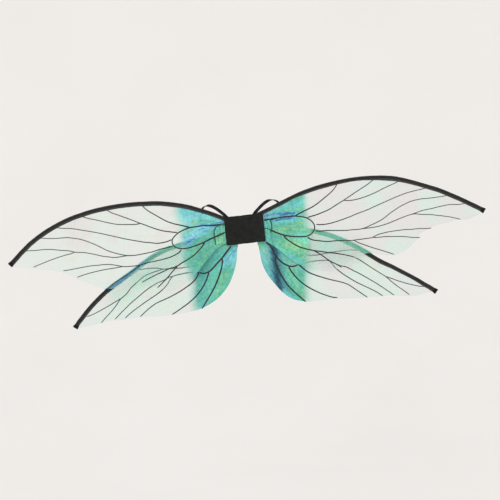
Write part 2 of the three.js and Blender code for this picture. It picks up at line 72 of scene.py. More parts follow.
# ------------------------------------------------- wing lines (millimetres)
SPARS = {
  'fore_left': [(-22.5,15.7),(-30.5,20.3),(-36,23.5),(-51.3,32),(-63,37.6),(-74.9,42.7),(-86.8,47.8),(-98.8,52.5),
    (-111.2,56.3),(-123.7,59.5),(-136.4,62.3),(-149.1,64.6),(-162,66.1),(-174.9,66.9),(-187.8,67.7),
    (-200.7,68.1),(-213.7,68),(-226.6,67.5),(-239.5,66.7),(-252.4,65.4),(-265.2,63.8),(-278,61.6),
    (-290.6,58.8),(-303.2,55.8),(-315.6,52),(-327.8,47.6),(-339.6,42.5),(-351.4,37.1),(-362.7,30.9),
    (-373.8,24.1),(-384.5,16.9),(-394.5,8.7),(-404.3,0.2),(-413.7,-8.7),(-420.2,-14.5)],
  'fore_right': [(22.5,22.3),(30.5,25),(36,26.9),(48.4,31.1),(60.7,35.7),(73,40.3),(85.3,44.7),(97.7,49.1),(110.1,53.2),
    (122.8,56.3),(135.6,59.2),(148.5,61.5),(161.5,63.3),(174.5,64.8),(187.6,65.9),(200.7,66.6),(213.8,66.8),
    (226.9,66.5),(240,65.6),(253,64.3),(266,62.4),(278.8,59.7),(291.3,55.7),(303.6,51.1),(315.7,46.1),
    (327.7,40.8),(339.7,35.5),(351.6,30.1),(363.1,23.9),(374.4,17.2),(385.7,10.5),(396.8,3.5),(407.8,-3.7),
    (418.7,-10.8),(425.2,-15.4)],
  'hind_left': [(-22.5,1.2),(-30.5,0.1),(-36,-0.7),(-52.2,-3),(-63.8,-4.8),(-75.3,-6.8),(-86.8,-8.8),(-98.2,-11),
    (-109.7,-13.1),(-121.2,-15.4),(-132.6,-17.5),(-144.1,-19.7),(-155.1,-23.5),(-166,-27.8),(-176.5,-32.7),
    (-186.8,-38.4),(-196.8,-44.4),(-206.5,-50.8),(-216.6,-56.7),(-226.7,-62.5),(-236.8,-68.4),(-246.9,-74.2),
    (-256.9,-80.3),(-266.7,-86.6),(-276,-93.7),(-285,-101.1),(-293.8,-108.8),(-302.2,-116.9),(-310.3,-125.3),
    (-318.3,-133.7),(-323.4,-140)],
  'hind_right': [(22.5,1.3),(30.5,-0.5),(36,-1.7),(48.6,-3.9),(61.5,-6),(74.4,-8.2),(87.3,-10.4),(100.2,-12.7),(113,-15.4),
    (125.8,-18.4),(138.1,-22.7),(150.3,-27.6),(162,-33.3),(173.6,-39.5),(184.8,-46.2),(195.7,-53.4),
    (206.3,-61.1),(216.6,-69.1),(226.8,-77.4),(237.3,-85.3),(248.2,-92.5),(259.3,-99.4),(270.1,-106.8),
    (280.9,-114.2),(291.7,-121.6),(302.3,-129.2),(312.6,-137.3),(323.2,-145),(329.6,-150.3)],
}
EDGES = {
  'fore_left': [(-30.5,-22),(-35.3,-21.3),(-50.8,-27.9),(-62,-35.2),(-72.1,-44.5),(-91.3,-64.8),(-105.8,-77.5),
    (-119.2,-87.4),(-128.6,-92.8),(-139,-96.5),(-144.4,-97.1),(-152.2,-95.3),(-165.1,-90.7),(-180.2,-84.4),
    (-192.1,-77.4),(-197.1,-75.6),(-213.2,-74.9),(-255.8,-79.6),(-266.4,-78.3),(-273.8,-75.5),(-290.1,-66),
    (-309.2,-56.5),(-316,-52.4),(-326.9,-44.2),(-333.7,-40.4),(-341.1,-38.2),(-392.1,-26.3),(-420,-20.3)],
  'fore_right': [(30.5,-24.6),(36.4,-26.6),(51.8,-38.8),(84.2,-69.7),(93.1,-76.2),(105.3,-82.8),(120.9,-88.6),(137,-92.6),
    (142.4,-93.5),(147.9,-93.7),(158.9,-92.4),(164.2,-90.9),(191.3,-77.3),(201.5,-73.5),(214.7,-69.5),
    (217.3,-69.3),(228,-71.1),(236,-72.9),(249,-76.8),(265.2,-77.6),(273.1,-76.3),(283.2,-72.3),(292.6,-66.8),
    (302.7,-57.8),(309.9,-53.4),(311.3,-51.5),(312.9,-46.2),(314.7,-44.4),(321.9,-40.6),(332.3,-37.4),
    (339.7,-34.2),(344.7,-32.7),(360.6,-31.6),(384.1,-28),(397.1,-29.4),(402.3,-28.7),(414.8,-24.3),
    (424.1,-19.2)],
  'hind_left': [(-14.4,-25.1),(-18.2,-36.6),(-20.9,-53.3),(-22.8,-60.2),(-33,-84.7),(-36.4,-91),(-41.8,-99.1),(-51.2,-110),
    (-56.5,-115),(-64,-120.8),(-76.5,-128),(-92,-134.5),(-96.5,-136),(-105.8,-137.7),(-143.9,-141.2),
    (-162.8,-141),(-207.7,-138.4),(-238.2,-138.7),(-254.6,-138.3),(-303.5,-142.3),(-326.5,-144.8)],
  'hind_right': [(20,-27.5),(22.4,-37.1),(23.5,-59.4),(24.9,-66.8),(27.5,-76.3),(33.3,-90.1),(42.6,-104.8),(62.9,-130.1),
    (70.6,-135.8),(79.6,-140.2),(91.4,-143.7),(101.2,-145.4),(143,-145.6),(189.2,-149.2),(247.5,-150.5),
    (300.2,-155.5),(312,-152.7),(324,-152.3),(333.5,-152.7)],
}
VEINS = {
  'fore_left': [
    [(-35.3,14),(-42.3,13.8),(-49.3,13.8),(-56.3,13.7),(-63.3,14.4),(-70.2,15.1),(-77.2,15.3),(-84.2,15),
    (-91.2,14.9),(-98.2,14.5),(-105.1,13.4),(-111.7,11.3),(-118.3,8.9),(-124.4,5.5),(-129.8,1.1),(-134,-4.5),
    (-134.2,-11.3),(-130.6,-17.2),(-124.6,-20.7),(-117.7,-22.1),(-110.8,-22.5),(-103.8,-21.9),(-96.9,-20.5),
    (-90.1,-18.9),(-83.4,-17.2),(-76.7,-15.1),(-70.2,-12.6),(-63.6,-10.1),(-57,-8),(-50.3,-5.9),(-43.7,-3.5),
    (-37,-1.6)],
    [(-98.7,14.7),(-105.4,17),(-112,19.5),(-118.7,21.7),(-125.4,24),(-131.9,26.7),(-138.3,29.8),(-144.3,33.5),
    (-150.1,37.6),(-155.8,41.8),(-161.5,46),(-167.1,50.2),(-172.6,54.7),(-177.4,59.8),(-181.7,65.5)],
    [(-122.9,8.2),(-130.1,9.4),(-137.1,11.2),(-144.2,12.8),(-151.2,15),(-158,17.7),(-164.6,20.7),(-171.1,23.9),
    (-177.6,27.3),(-184.1,30.6),(-190.6,33.7),(-197,37.3),(-203.5,40.6),(-210,43.8),(-216.5,47.1),(-223,50.4),
    (-229.6,53.6),(-236.1,56.8),(-242,61.1),(-247.8,65.6)],
    [(-187,32.1),(-194.4,31.3),(-201.8,31.7),(-209.2,32.5),(-216.6,33.3),(-224,34.2),(-231.3,35.6),(-238.5,37.7),
    (-245.5,40),(-252.6,42.5),(-259.5,45.1),(-266.6,47.5),(-273.7,49.7),(-280.8,52.1),(-287.5,55.2),
    (-294.4,58.1)],
    [(-134,-3.4),(-140.8,-5.5),(-147.7,-6.9),(-154.8,-7.4),(-161.9,-7.4),(-168.8,-6),(-175.7,-4.3),(-182.7,-3.1),
    (-189.5,-1.2),(-196.3,0.7),(-203.1,2.7),(-209.9,4.8),(-216.7,6.8),(-223.4,9.1),(-230.1,11.5),
    (-236.7,13.8),(-243.4,16.2),(-250.1,18.5),(-256.8,20.9),(-263.5,23.1),(-270.3,25.2),(-277.1,27.2),
    (-283.9,29.2),(-290.7,31.1),(-297.5,33.1),(-304.3,35),(-311.2,36.6),(-318.3,37.6),(-325.3,38.5),
    (-332.2,40),(-339.1,41.8)],
    [(-134.4,-16.1),(-141.6,-16.8),(-148.7,-17.6),(-155.8,-18.5),(-162.9,-19.8),(-169.9,-21.4),(-177,-22.5),
    (-184.1,-23.1),(-191.3,-23.7),(-198.4,-24.3),(-205.6,-24.5),(-212.7,-23.9),(-219.8,-22.8),(-226.7,-20.7),
    (-233.4,-18.3),(-240.1,-15.7),(-246.6,-12.7),(-253,-9.3),(-259,-5.4),(-264.9,-1.3),(-271,2.5),(-277.2,6),
    (-283.5,9.5),(-290,12.6),(-296.6,15.3),(-303.5,17.5),(-310.4,19.2),(-317.4,20.9),(-324.5,21.5),
    (-331.7,21.5),(-338.9,21.9),(-346,22.5),(-353.2,23.3),(-360.2,24.5),(-367.3,25.8)],
    [(-209.4,-24.3),(-216.4,-23.6),(-223.5,-23.9),(-230.5,-24.2),(-237.5,-24.4),(-244.5,-23.5),(-251.3,-21.7),
    (-258.2,-20.2),(-264.9,-18.1),(-271.5,-15.6),(-278.2,-13.4),(-284.9,-11.3),(-291.7,-9.3),(-298.6,-8.2),
    (-305.6,-7.3),(-312.3,-5.3),(-319,-3),(-325.9,-1.6),(-332.8,-0.6),(-339.7,1.1),(-346.6,2.6),(-353.5,3.5),
    (-360.5,4.3),(-367.6,4.4),(-374.6,4.3),(-381.6,4.8),(-388.7,5.2),(-395.7,5.4)],
    [(-309.2,-7),(-316.1,-8.5),(-323,-9.5),(-329.9,-10.8),(-336.8,-12.1),(-343.7,-13.7),(-350.5,-15.4),
    (-357.3,-17.2),(-364,-19.1),(-370.8,-21.1),(-377.5,-23.1),(-384.2,-25.2)],
    [(-119.2,-22.9),(-123.6,-28.2),(-129.9,-31.4),(-136.6,-33.8),(-143.4,-35.7),(-150.4,-37),(-157.4,-38),
    (-164.4,-38.9),(-171.5,-39.5),(-178.5,-40.1),(-185.5,-41.1),(-192.5,-42.5),(-199.5,-43.5),(-206.5,-43.5),
    (-213.6,-43.5),(-220.7,-43.1),(-227.7,-42.2),(-234.5,-40.1),(-241.2,-38),(-248.1,-36.2),(-255.1,-35.3),
    (-262.1,-34.7),(-269.2,-34.9),(-276.3,-34.6),(-283.4,-34.4),(-290.4,-34.8),(-297.5,-35.3),(-304.6,-35.8),
    (-311.6,-36.3),(-318.7,-36.9),(-325.7,-37.4),(-332.8,-37.2)],
    [(-226.4,-42.2),(-233.5,-42.6),(-240.5,-43.1),(-247.5,-43.4),(-254.5,-43.7),(-261.5,-44.2),(-268.5,-44.8),
    (-275.5,-45.6),(-282.5,-46.5),(-289.5,-47.6),(-296.4,-48.9),(-303.2,-50.4),(-310.1,-52.2)],
    [(-75.9,-15.7),(-80.4,-21.4),(-85.5,-26.4),(-91,-31.2),(-96.7,-35.6),(-102.8,-39.5),(-109.1,-42.8),
    (-115.7,-45.7),(-122.3,-48.6),(-128.7,-52),(-135.5,-54.3),(-142.7,-55.3),(-149.6,-57.3),(-156.4,-59.7),
    (-163.3,-62),(-170.1,-64.2),(-176.9,-66.7),(-183.6,-69.3),(-190.3,-72.1),(-196.9,-75)],
    [(-128.5,-51.7),(-134.5,-56.9),(-140.5,-62.2),(-146.1,-67.8),(-151.9,-73.3),(-158,-78.4),(-164.2,-83.3),
    (-170.5,-88.3)],
    [(-196.1,-42.9),(-201.9,-47),(-208,-50.8),(-214.2,-54.3),(-220.6,-57.5),(-227,-60.7),(-233.5,-63.8),
    (-240,-66.8),(-246.3,-70.1),(-252.2,-74.2),(-258.1,-78.2),(-264.8,-80.7)],
  ],
  'hind_left': [
    [(-28.6,-27.1),(-33.4,-32.7),(-38.4,-38.1),(-43.4,-43.6),(-48.7,-48.8),(-54.4,-53.6),(-59.9,-58.6),
    (-65.3,-63.6),(-71.3,-68),(-77.9,-71.2),(-85.2,-71.9),(-92.1,-69.3)],
    [(-92.9,-69),(-96.2,-75.4),(-100.8,-80.9),(-106.2,-85.7),(-112.1,-89.7),(-118.5,-93.2),(-124.8,-96.6),
    (-131.3,-99.8),(-137.8,-102.7),(-144.5,-105.4),(-151.2,-108),(-158.1,-110.2),(-165,-112.3),
    (-171.8,-114.4),(-178.5,-117.1),(-184.8,-120.6),(-190.9,-124.4),(-196.8,-128.5),(-202.6,-132.8),
    (-208.2,-137.2)],
    [(-74.1,-69.7),(-76.7,-76.3),(-79.9,-82.7),(-83.4,-88.9),(-87.3,-94.9),(-91.7,-100.6),(-96.6,-105.8),
    (-101.7,-110.8),(-107.2,-115.3),(-113.1,-119.4),(-119,-123.4),(-125.2,-127),(-131.5,-130.4),
    (-137.7,-133.8),(-144.1,-137.1),(-150.6,-140)],
    [(-47.2,-49.2),(-47.9,-56.3),(-49.9,-63.2),(-52.3,-70),(-55.2,-76.6),(-58.3,-83.1),(-61.7,-89.5),
    (-65.2,-95.7),(-69.1,-101.8),(-73,-107.8),(-77.4,-113.6),(-81.8,-119.3),(-86.2,-124.9),(-90.6,-130.6),
    (-95,-136.3)],
    [(-36.7,-9),(-42.7,-12.8),(-48.2,-17),(-53.5,-21.7),(-58.5,-26.7),(-63.3,-31.8),(-68.2,-36.8),(-73.4,-41.6),
    (-78.9,-46),(-84.8,-49.8),(-91.3,-52.6),(-98,-54.5),(-105,-55.7),(-112,-56.5),(-119,-57.1),(-126,-57.2),
    (-133,-56.9),(-140,-56.4),(-147.1,-55.9),(-154.1,-55.7),(-161.1,-56.2),(-168,-57.6),(-174.9,-59.1),
    (-181.7,-60.7),(-188.4,-62.7),(-194.8,-65.7),(-200.7,-69.6),(-206.3,-73.8),(-212.1,-77.8),(-217.8,-81.9),
    (-222.6,-87),(-227.4,-92.2),(-233.1,-96.3),(-238.9,-100.2),(-243.8,-105.3),(-248.2,-110.8),(-253,-115.9),
    (-258.1,-120.8),(-263.3,-125.5),(-268.6,-130.1),(-273.8,-134.8),(-278.8,-139.8)],
    [(-239.5,-99.7),(-246.3,-103.2),(-253.3,-106.4),(-260.2,-109.7),(-267.2,-112.7),(-274.3,-115.7),
    (-281.3,-118.6),(-288.5,-121.3),(-295.8,-123.6),(-303.3,-125.3)],
    [(-156.8,-55.6),(-164,-53.4),(-171.4,-51.9),(-178.9,-51.2),(-186.4,-51),(-193.9,-51.3),(-201.4,-51.8)],
    [(-92.1,-69.4),(-99.3,-68.4),(-106.4,-67.6),(-113.6,-67.4),(-120.8,-67.8),(-128,-68.5),(-135.2,-69.4),
    (-142.1,-71.4),(-147,-76.6),(-151.2,-82.5),(-156.2,-87.6),(-161.7,-92.3),(-167.6,-96.4),(-173.8,-100.1),
    (-180.2,-103.5),(-186.7,-106.7),(-193,-110.1),(-199.4,-113.5),(-205.6,-117.1),(-211.9,-120.6),
    (-218.1,-124.3),(-224.2,-128.2),(-230.1,-132.3),(-235.8,-136.7)],
    [(-138.9,-70.5),(-145.9,-71.1),(-152.6,-73.3),(-159,-76.3),(-165.9,-77.9),(-172.5,-80.4),(-179,-83.3),
    (-185.3,-86.5),(-191.5,-90),(-197.5,-93.8),(-203.3,-97.7),(-209.2,-101.7),(-215.1,-105.6),(-221,-109.6),
    (-226.6,-113.9),(-232.1,-118.3),(-237.7,-122.7),(-243.1,-127.2),(-248.6,-131.8),(-254,-136.4)],
  ],
  'fore_right': [
    [(36.2,12.2),(43.3,12.8),(50.4,12.8),(57.5,13.5),(64.6,14.1),(71.7,14.4),(78.9,14.5),(86,13.9),(93.1,13.8),
    (100.1,12.3),(107,10.6),(113.7,8.2),(119.7,4.3),(124.5,-0.9),(127.5,-7.4),(126.9,-14.4),(123,-20.3),
    (117,-24.1),(110.1,-25.8),(103,-25.5),(95.9,-24.7),(88.8,-23.7),(81.8,-22.4),(75,-20.4),(68.2,-18.1),
    (61.8,-15),(55.4,-11.8),(49.5,-7.8),(43.3,-4.3),(36.4,-2.7)],
    [(94.4,13.9),(101.1,16.6),(107.8,19.2),(114.5,21.6),(121.3,23.9),(128,26.5),(134.4,29.6),(140.6,33.2),
    (146.7,37),(152.6,41),(158.6,45),(164.5,49.1),(169.9,53.8),(174.5,59.2),(178.7,65)],
    [(116.5,8.2),(123.5,9.4),(130.6,10.6),(137.6,12.2),(144.5,14.1),(151.4,16),(158.1,18.5),(164.6,21.5),
    (171,24.7),(177.5,27.9),(184,30.8),(190.3,34.2),(196.7,37.4),(203,40.8),(209.4,44.1),(215.8,47.3),
    (222.2,50.6),(228.6,53.7),(234.8,57.3),(240.8,61.3),(247.3,64.2)],
    [(185.5,31.1),(192.8,30),(200.2,29.7),(207.6,30.3),(214.9,31.3),(222.2,32.7),(229.4,34.4),(236.6,36.4),
    (243.6,38.6),(250.6,41.2),(257.5,43.9),(264.5,46.3),(271.5,48.6),(278.6,50.7),(285.5,53.4),(292.6,55.5)],
    [(130.4,-6.2),(137.3,-7.4),(144.2,-8),(151.2,-7.8),(158.2,-7.1),(165.1,-6),(172,-4.6),(178.9,-3.1),
    (185.7,-1.5),(192.5,0.2),(199.2,2.2),(205.9,4.2),(212.7,6),(219.5,7.6),(226.3,9.4),(232.9,11.5),
    (239.6,13.7),(246.3,15.9),(253,18),(259.6,20.1),(266.3,22.2),(273,24.3),(279.7,26.3),(286.5,28.2),
    (293.3,29.9),(300.1,31.3),(307.1,32.4),(314,33.3),(321,34),(327.9,34.9),(334.9,35.4),(341.9,35.2)],
    [(128.1,-17.7),(135,-19.3),(142,-19.4),(149.1,-19.7),(156.1,-20.5),(163.1,-21.4),(170.1,-22.2),(177.1,-23),
    (184.2,-23.7),(191.2,-23.7),(198.3,-23.9),(205.4,-24.3),(212.4,-23.9),(219.3,-22.5),(225.9,-20.1),
    (232.7,-17.9),(239.4,-15.6),(245.9,-13),(252.3,-9.9),(258.3,-6.2),(264.2,-2.3),(270.3,1.2),(276.6,4.4),
    (282.9,7.6),(289.5,10.3),(296.1,12.7),(302.8,14.8),(309.8,16),(316.8,16.7),(323.9,17.1),(330.9,16.7),
    (338,16.6),(345.1,16.7),(352.1,16.8),(359.2,17),(366.2,17.6),(373.3,17.7)],
    [(210.8,-23.6),(217.9,-23.9),(225,-23.9),(232.1,-23.8),(239.1,-23.3),(246.1,-22.4),(253.1,-21.1),(260,-19.6),
    (266.8,-17.6),(273.6,-15.7),(280.4,-13.6),(287.2,-11.7),(294.1,-10),(301,-8.7),(308,-7.3),(314.8,-5.4),
    (321.7,-4),(328.7,-3.2),(335.8,-2.6),(342.8,-1.8),(349.8,-0.8),(356.9,-0.1),(363.9,0.6),(371,0.8),(378,0),
    (385,-0.8),(392.1,-0.7),(399.2,-0.3)],
    [(302.1,-8.5),(309.3,-8.5),(316.4,-10.2),(323.6,-11.4),(330.8,-12.3),(337.9,-13.4),(344.9,-15.4),(352,-16.9),
    (359.1,-18.7),(366.1,-20.5),(373,-22.8),(379.9,-25.3),(386.6,-28)],
    [(112.5,-27.4),(117.8,-32),(124.3,-34.6),(131.2,-36.2),(138,-37.9),(144.9,-39.3),(151.9,-40.1),(159,-40),
    (166,-40.2),(173.1,-41),(180.1,-41.8),(187.1,-42.6),(194.1,-43),(201.2,-42.7),(208.2,-42.7),(215.3,-42.4),
    (222.3,-42.5),(229.3,-41.6),(235.8,-38.9),(242.6,-37.1),(249.6,-36.1),(256.6,-35.3),(263.7,-34.9),
    (270.7,-34.6),(277.8,-34.6),(284.8,-34.4),(291.9,-34.8),(298.9,-35.5),(306,-35.4),(313,-35.6),(320,-36.4),
    (327,-37.1),(334.1,-37.3)],
    [(229.6,-42.2),(237.2,-42.8),(244.8,-42.9),(252.3,-43),(259.9,-43.8),(267.4,-44.7),(275,-45.5),(282.5,-46.5),
    (289.9,-47.9),(297.3,-49.8),(304.8,-50.9),(312.3,-51.9)],
    [(69.6,-19.1),(73.4,-25.2),(78.3,-30.4),(83.8,-35),(89.5,-39.4),(95.5,-43.3),(101.9,-46.5),(108.6,-49.1),
    (115.4,-51.4),(122.2,-53.6),(129.2,-55.4),(136.2,-57),(143.1,-59),(150.2,-60.3),(157.1,-61.9),
    (164.1,-63.9),(170.9,-66),(177.8,-68.1),(184.6,-70.5),(191.3,-72.9)],
    [(120.8,-53.4),(127.1,-57.5),(133,-62.2),(138.7,-67.1),(144.2,-72.3),(150.1,-77),(156.4,-81.1),(162.6,-85.4),
    (168.9,-89.7)],
    [(195.5,-43.6),(201.9,-47.8),(208.6,-51.4),(215.5,-54.7),(222.3,-58.1),(229.2,-61.3),(236.2,-64.3),
    (243.2,-67.3),(250.1,-70.5),(257.1,-73.7),(263.9,-77)],
  ],
  'hind_right': [
    [(36.1,-27.8),(41.3,-33.1),(45.1,-39.3),(47.9,-46.2),(50.5,-53.1),(54,-59.6),(58.5,-65.4),(63.8,-70.5),
    (69.9,-74.7),(76.7,-77.5),(84,-77.9),(91,-75.6)],
    [(91.3,-76),(96.1,-81.1),(101,-86.3),(106.2,-91),(112.1,-94.8),(118.4,-98.1),(124.8,-101.1),(131.2,-103.9),
    (137.7,-106.7),(144.3,-109.3),(150.9,-111.7),(157.6,-114),(164.2,-116.4),(170.7,-119.1),(176.9,-122.5),
    (182.4,-126.9),(187.7,-131.5),(193,-136.2),(198.4,-140.7),(203.7,-145.4),(209.2,-149.9)],
    [(72.6,-77.5),(75.2,-84.3),(78.7,-90.8),(82.7,-96.9),(87.1,-102.8),(92,-108.2),(97.2,-113.4),(102.8,-118.2),
    (108.7,-122.5),(114.8,-126.6),(121,-130.4),(127.4,-134),(134,-137.3),(140.7,-140.3),(147.5,-142.8),
    (154.8,-144.1)],
    [(50.5,-56.2),(49.9,-63.6),(50.3,-70.9),(52.1,-78.1),(54.5,-85.1),(57.3,-92),(60.4,-98.7),(63.8,-105.3),
    (67.5,-111.7),(71.8,-117.7),(76.4,-123.5),(81.3,-129.1),(86.3,-134.6),(91.3,-139.9),(96.2,-145.5)],
    [(42.1,-18.1),(46.7,-23.5),(51.3,-28.9),(55.9,-34.3),(60.6,-39.6),(65.6,-44.7),(70.9,-49.3),(76.8,-53.2),
    (83.3,-56),(90.2,-57.7),(97.2,-58.8),(104.3,-59.7),(111.3,-60.8),(118.3,-61.7),(125.4,-62.2),
    (132.5,-61.8),(139.5,-61),(146.6,-60.9),(153.6,-61.7),(160.6,-63.2),(167.4,-64.9),(174.3,-66.8),(181,-69),
    (187.7,-71.4),(194.1,-74.5),(200.1,-78.3),(205.7,-82.6),(211.1,-87.2),(216.5,-91.8),(221.9,-96.4),
    (227.4,-100.9),(232.9,-105.3),(238.5,-109.7),(244,-114.2),(249.1,-119.1),(253.8,-124.4),(258.7,-129.6),
    (263.8,-134.5),(269.1,-139.2),(274.4,-143.9),(279.6,-148.7),(284.5,-153.8)],
    [(245.3,-115),(252,-118.3),(258.6,-121.6),(265.2,-125),(272,-128),(278.8,-130.9),(285.7,-133.6),
    (292.7,-136.1),(299.7,-138.5),(306.9,-140.3),(314.2,-141.4)],
    [(144.1,-60.7),(151.2,-60.3),(158.2,-60),(165.3,-59.8),(172.4,-59.7),(179.5,-59.7),(186.6,-59.9),
    (193.6,-60.7),(200.5,-62.4)],
    [(91.4,-77.7),(98.2,-76.4),(104.9,-74.1),(111.7,-73),(118.7,-73),(125.7,-72.7),(132.7,-73.1),(139.7,-73.6),
    (146.5,-75.1),(151.2,-80),(154.7,-86.1),(159,-91.6),(163.9,-96.6),(168.9,-101.5),(174.2,-106),
    (179.7,-110.4),(185.2,-114.7),(190.8,-118.9),(196.6,-122.8),(202.5,-126.5),(208.5,-130.2),(214.5,-133.8),
    (220.3,-137.6),(226.1,-141.6),(231.6,-145.9),(236.9,-150.5)],
    [(145,-74.3),(151.3,-77.7),(157.4,-81.5),(163.7,-85),(170.4,-87.7),(177.1,-90.2),(183.2,-94.1),(189.1,-98.2),
    (195.1,-102),(201.1,-106.1),(206.9,-110.3),(212.7,-114.6),(218.4,-118.9),(224.2,-123.2),(229.8,-127.7),
    (235.3,-132.3),(240.8,-137),(246.2,-141.7),(251.6,-146.4),(257,-151.2)],
  ],
}

WING_Y = {"fore": (-10.0, 0.16, 0.00006), "hind": (-7.0, 0.11, 0.00006)}
LEAN_START, LEAN_RAMP = 36.0, 20.0
BAND_HALF, ROD_OFFSET = 4.1, -1.7
OUT_Y, IN_Y = -13.6, -3.4          # outer and inner faces of the patch
HALF_W, HALF_H = 35.5, 25.5


def smooth(a, b, x):
    t = np.clip((np.asarray(x, float) - a) / (b - a), 0, 1)
    return t * t * (3 - 2 * t)


def base_y(pair, x):
    root, lean, bow = WING_Y[pair]
    d = np.maximum(0, np.abs(x) - LEAN_START)
    ramp = np.where(d < LEAN_RAMP, d * d / (2 * LEAN_RAMP), d - LEAN_RAMP / 2)
    return root - lean * ramp - bow * d * d


def arclen(p):
    return np.r_[0, np.cumsum(np.linalg.norm(np.diff(p, axis=0), axis=1))]


def catmull(p, step, ends=True):
    """A smooth curve through points, with a point about every step."""
    p = np.asarray(p, float)
    t = arclen(p) ** 1.0
    n = max(3, int(t[-1] / step) + 1)
    u = np.linspace(0, t[-1], n)
    # finite-difference tangents, cubic Hermite
    m_ = np.zeros_like(p)
    h = np.diff(t)
    d = np.diff(p, axis=0) / h[:, None]
    m_[1:-1] = (d[:-1] * h[1:, None] + d[1:] * h[:-1, None]) / (h[:-1] + h[1:])[:, None]
    m_[0], m_[-1] = d[0], d[-1]
    k = np.clip(np.searchsorted(t, u, side="right") - 1, 0, len(h) - 1)
    s = ((u - t[k]) / h[k])[:, None]
    hh = h[k][:, None]
    return ((2 * s**3 - 3 * s**2 + 1) * p[k] + (s**3 - 2 * s**2 + s) * hh * m_[k]
            + (-2 * s**3 + 3 * s**2) * p[k + 1] + (s**3 - s**2) * hh * m_[k + 1])


def value_noise(x, z, seed):
    """Smooth repeatable noise in -1..1 on a unit grid."""
    rng = np.random.default_rng(seed)
    tab = rng.uniform(-1, 1, (64, 64))
    xi, zi = np.floor(x).astype(int), np.floor(z).astype(int)
    fx, fz = x - xi, z - zi
    fx, fz = fx * fx * (3 - 2 * fx), fz * fz * (3 - 2 * fz)
    a, b = tab[xi % 64, zi % 64], tab[(xi + 1) % 64, zi % 64]
    c, d = tab[xi % 64, (zi + 1) % 64], tab[(xi + 1) % 64, (zi + 1) % 64]
    return (a * (1 - fx) + b * fx) * (1 - fz) + (c * (1 - fx) + d * fx) * fz


SPAR = {}
for key, pts in SPARS.items():
    SPAR[key] = catmull(pts, 2.0)
SIGN = {"left": -1.0, "right": 1.0}


def spar_z(key, x):
    sg = SIGN[key.split("_")[1]]
    p = SPAR[key]
    return np.interp(sg * np.asarray(x, float), sg * p[:, 0], p[:, 1])


def edge_z(key, x):
    sg = SIGN[key.split("_")[1]]
    p = EDGE[key]
    return np.interp(sg * np.asarray(x, float), sg * p[:, 0], p[:, 1])


EDGE = {}
for key, pts in EDGES.items():
    q = catmull(pts, 1.5)
    sg = SIGN[key.split("_")[1]]
    keep = [0]
    for i in range(1, len(q)):
        if sg * q[i, 0] > sg * q[keep[-1], 0] + 0.02:
            keep.append(i)
    EDGE[key] = q[keep]


def film_y(key, x, z):
    """Depth of the film: the wing's mid surface, with the cloth's ripples."""
    pair, side = key.split("_")
    x, z = np.asarray(x, float), np.asarray(z, float)
    d = np.maximum(0, np.abs(x) - 33)
    root = (34.0, 2.0) if pair == "fore" else (27.0, -16.0)
    rx, rz = np.abs(x) - root[0], z - root[1]
    ang = np.arctan2(rz, rx + 14.0)
    rad = np.hypot(rx + 14.0, rz)
    drop = np.maximum(0, spar_z(key, x) - z)              # below the spar
    height = np.maximum(4.0, spar_z(key, x) - edge_z(key, x))
    free = np.clip(drop / height, 0, 1)
    hem = smooth(4.0, 22.0, drop)
    seed = {"fore_left": 3, "fore_right": 11, "hind_left": 23, "hind_right": 31}[key]
    # pleats that fan out of the gathered root
    pleat = (0.5 * np.sin(ang * 17 + seed) + 0.35 * np.sin(ang * 31 + 2 * seed + 0.02 * rad)
             + 0.25 * np.sin(ang * 47 + seed * 3))
    near = np.exp(-((rad - 30) / 46) ** 2) * np.clip(rad / 26, 0, 1)
    amp_root = np.minimum(0.75, 0.30 + 0.02 * d)
    # slow waves that run with the veins, and a livelier free edge
    wave = (np.sin(ang * 9 + 0.011 * rad + seed) * 0.6
            + 0.7 * value_noise(rad / 75 + 7, ang * 4.2 + seed, seed)
            + 0.3 * value_noise(rad / 30 + 3, ang * 9 + seed, seed + 1))
    amp = np.minimum(0.006 * d, 1.5) * (0.35 + 0.65 * free)
    flutter = np.sin(arc_phase(key, x) + seed) * smooth(0.72, 1.0, free) * np.minimum(0.009 * d, 1.5)
    y = base_y(pair, x) + hem * (amp_root * near * pleat * 1.4 + amp * wave + 0.55 * flutter)
    return y


def arc_phase(key, x):
    return np.abs(x) / 15.0 + 1.7 * np.sin(np.abs(x) / 61.0)


# ------------------------------------------------------------ mesh helpers
def link(name, me):
    o = bpy.data.objects.new(name, me)
    scene.collection.objects.link(o)
    return o


def mesh_object(name, verts, faces, smooth_shade=True, scale=MM):
    me = bpy.data.meshes.new(name)
    me.from_pydata([tuple(float(c) * scale for c in v) for v in verts], [], [tuple(int(i) for i in f) for f in faces])
    me.update()
    if smooth_shade:
        me.polygons.foreach_set("use_smooth", [True] * len(me.polygons))
    return link(name, me)


def grid_faces(nu, nv, base=0, wrap_v=False):
    f = []
    for i in range(nu - 1):
        for j in range(nv if wrap_v else nv - 1):
            k = (j + 1) % nv
            f.append((base + i * nv + j, base + (i + 1) * nv + j, base + (i + 1) * nv + k, base + i * nv + k))
    return f


def orient(o):
    bm = bmesh.new()
    bm.from_mesh(o.data)
    bmesh.ops.recalc_face_normals(bm, faces=bm.faces)
    bm.to_mesh(o.data)
    bm.free()
    return o


def tube(frames, profile, closed_ends=True, scales=None):
    """Verts and faces of a closed profile swept through frames (p, n, b)."""
    m_ = len(profile)
    prof = np.asarray(profile, float)
    verts = []
    for i, (p, n, b) in enumerate(frames):
        s = 1.0 if scales is None else scales[i]
        s = (s, s) if np.isscalar(s) else s
        q = np.asarray(p) + np.outer(prof[:, 0] * s[0], n) + np.outer(prof[:, 1] * s[1], b)
        verts.extend(q.tolist())
    faces = grid_faces(len(frames), m_, 0, True)
    if closed_ends:
        faces.append(tuple(range(m_ - 1, -1, -1)))
        faces.append(tuple(range((len(frames) - 1) * m_, len(frames) * m_)))
    return verts, faces


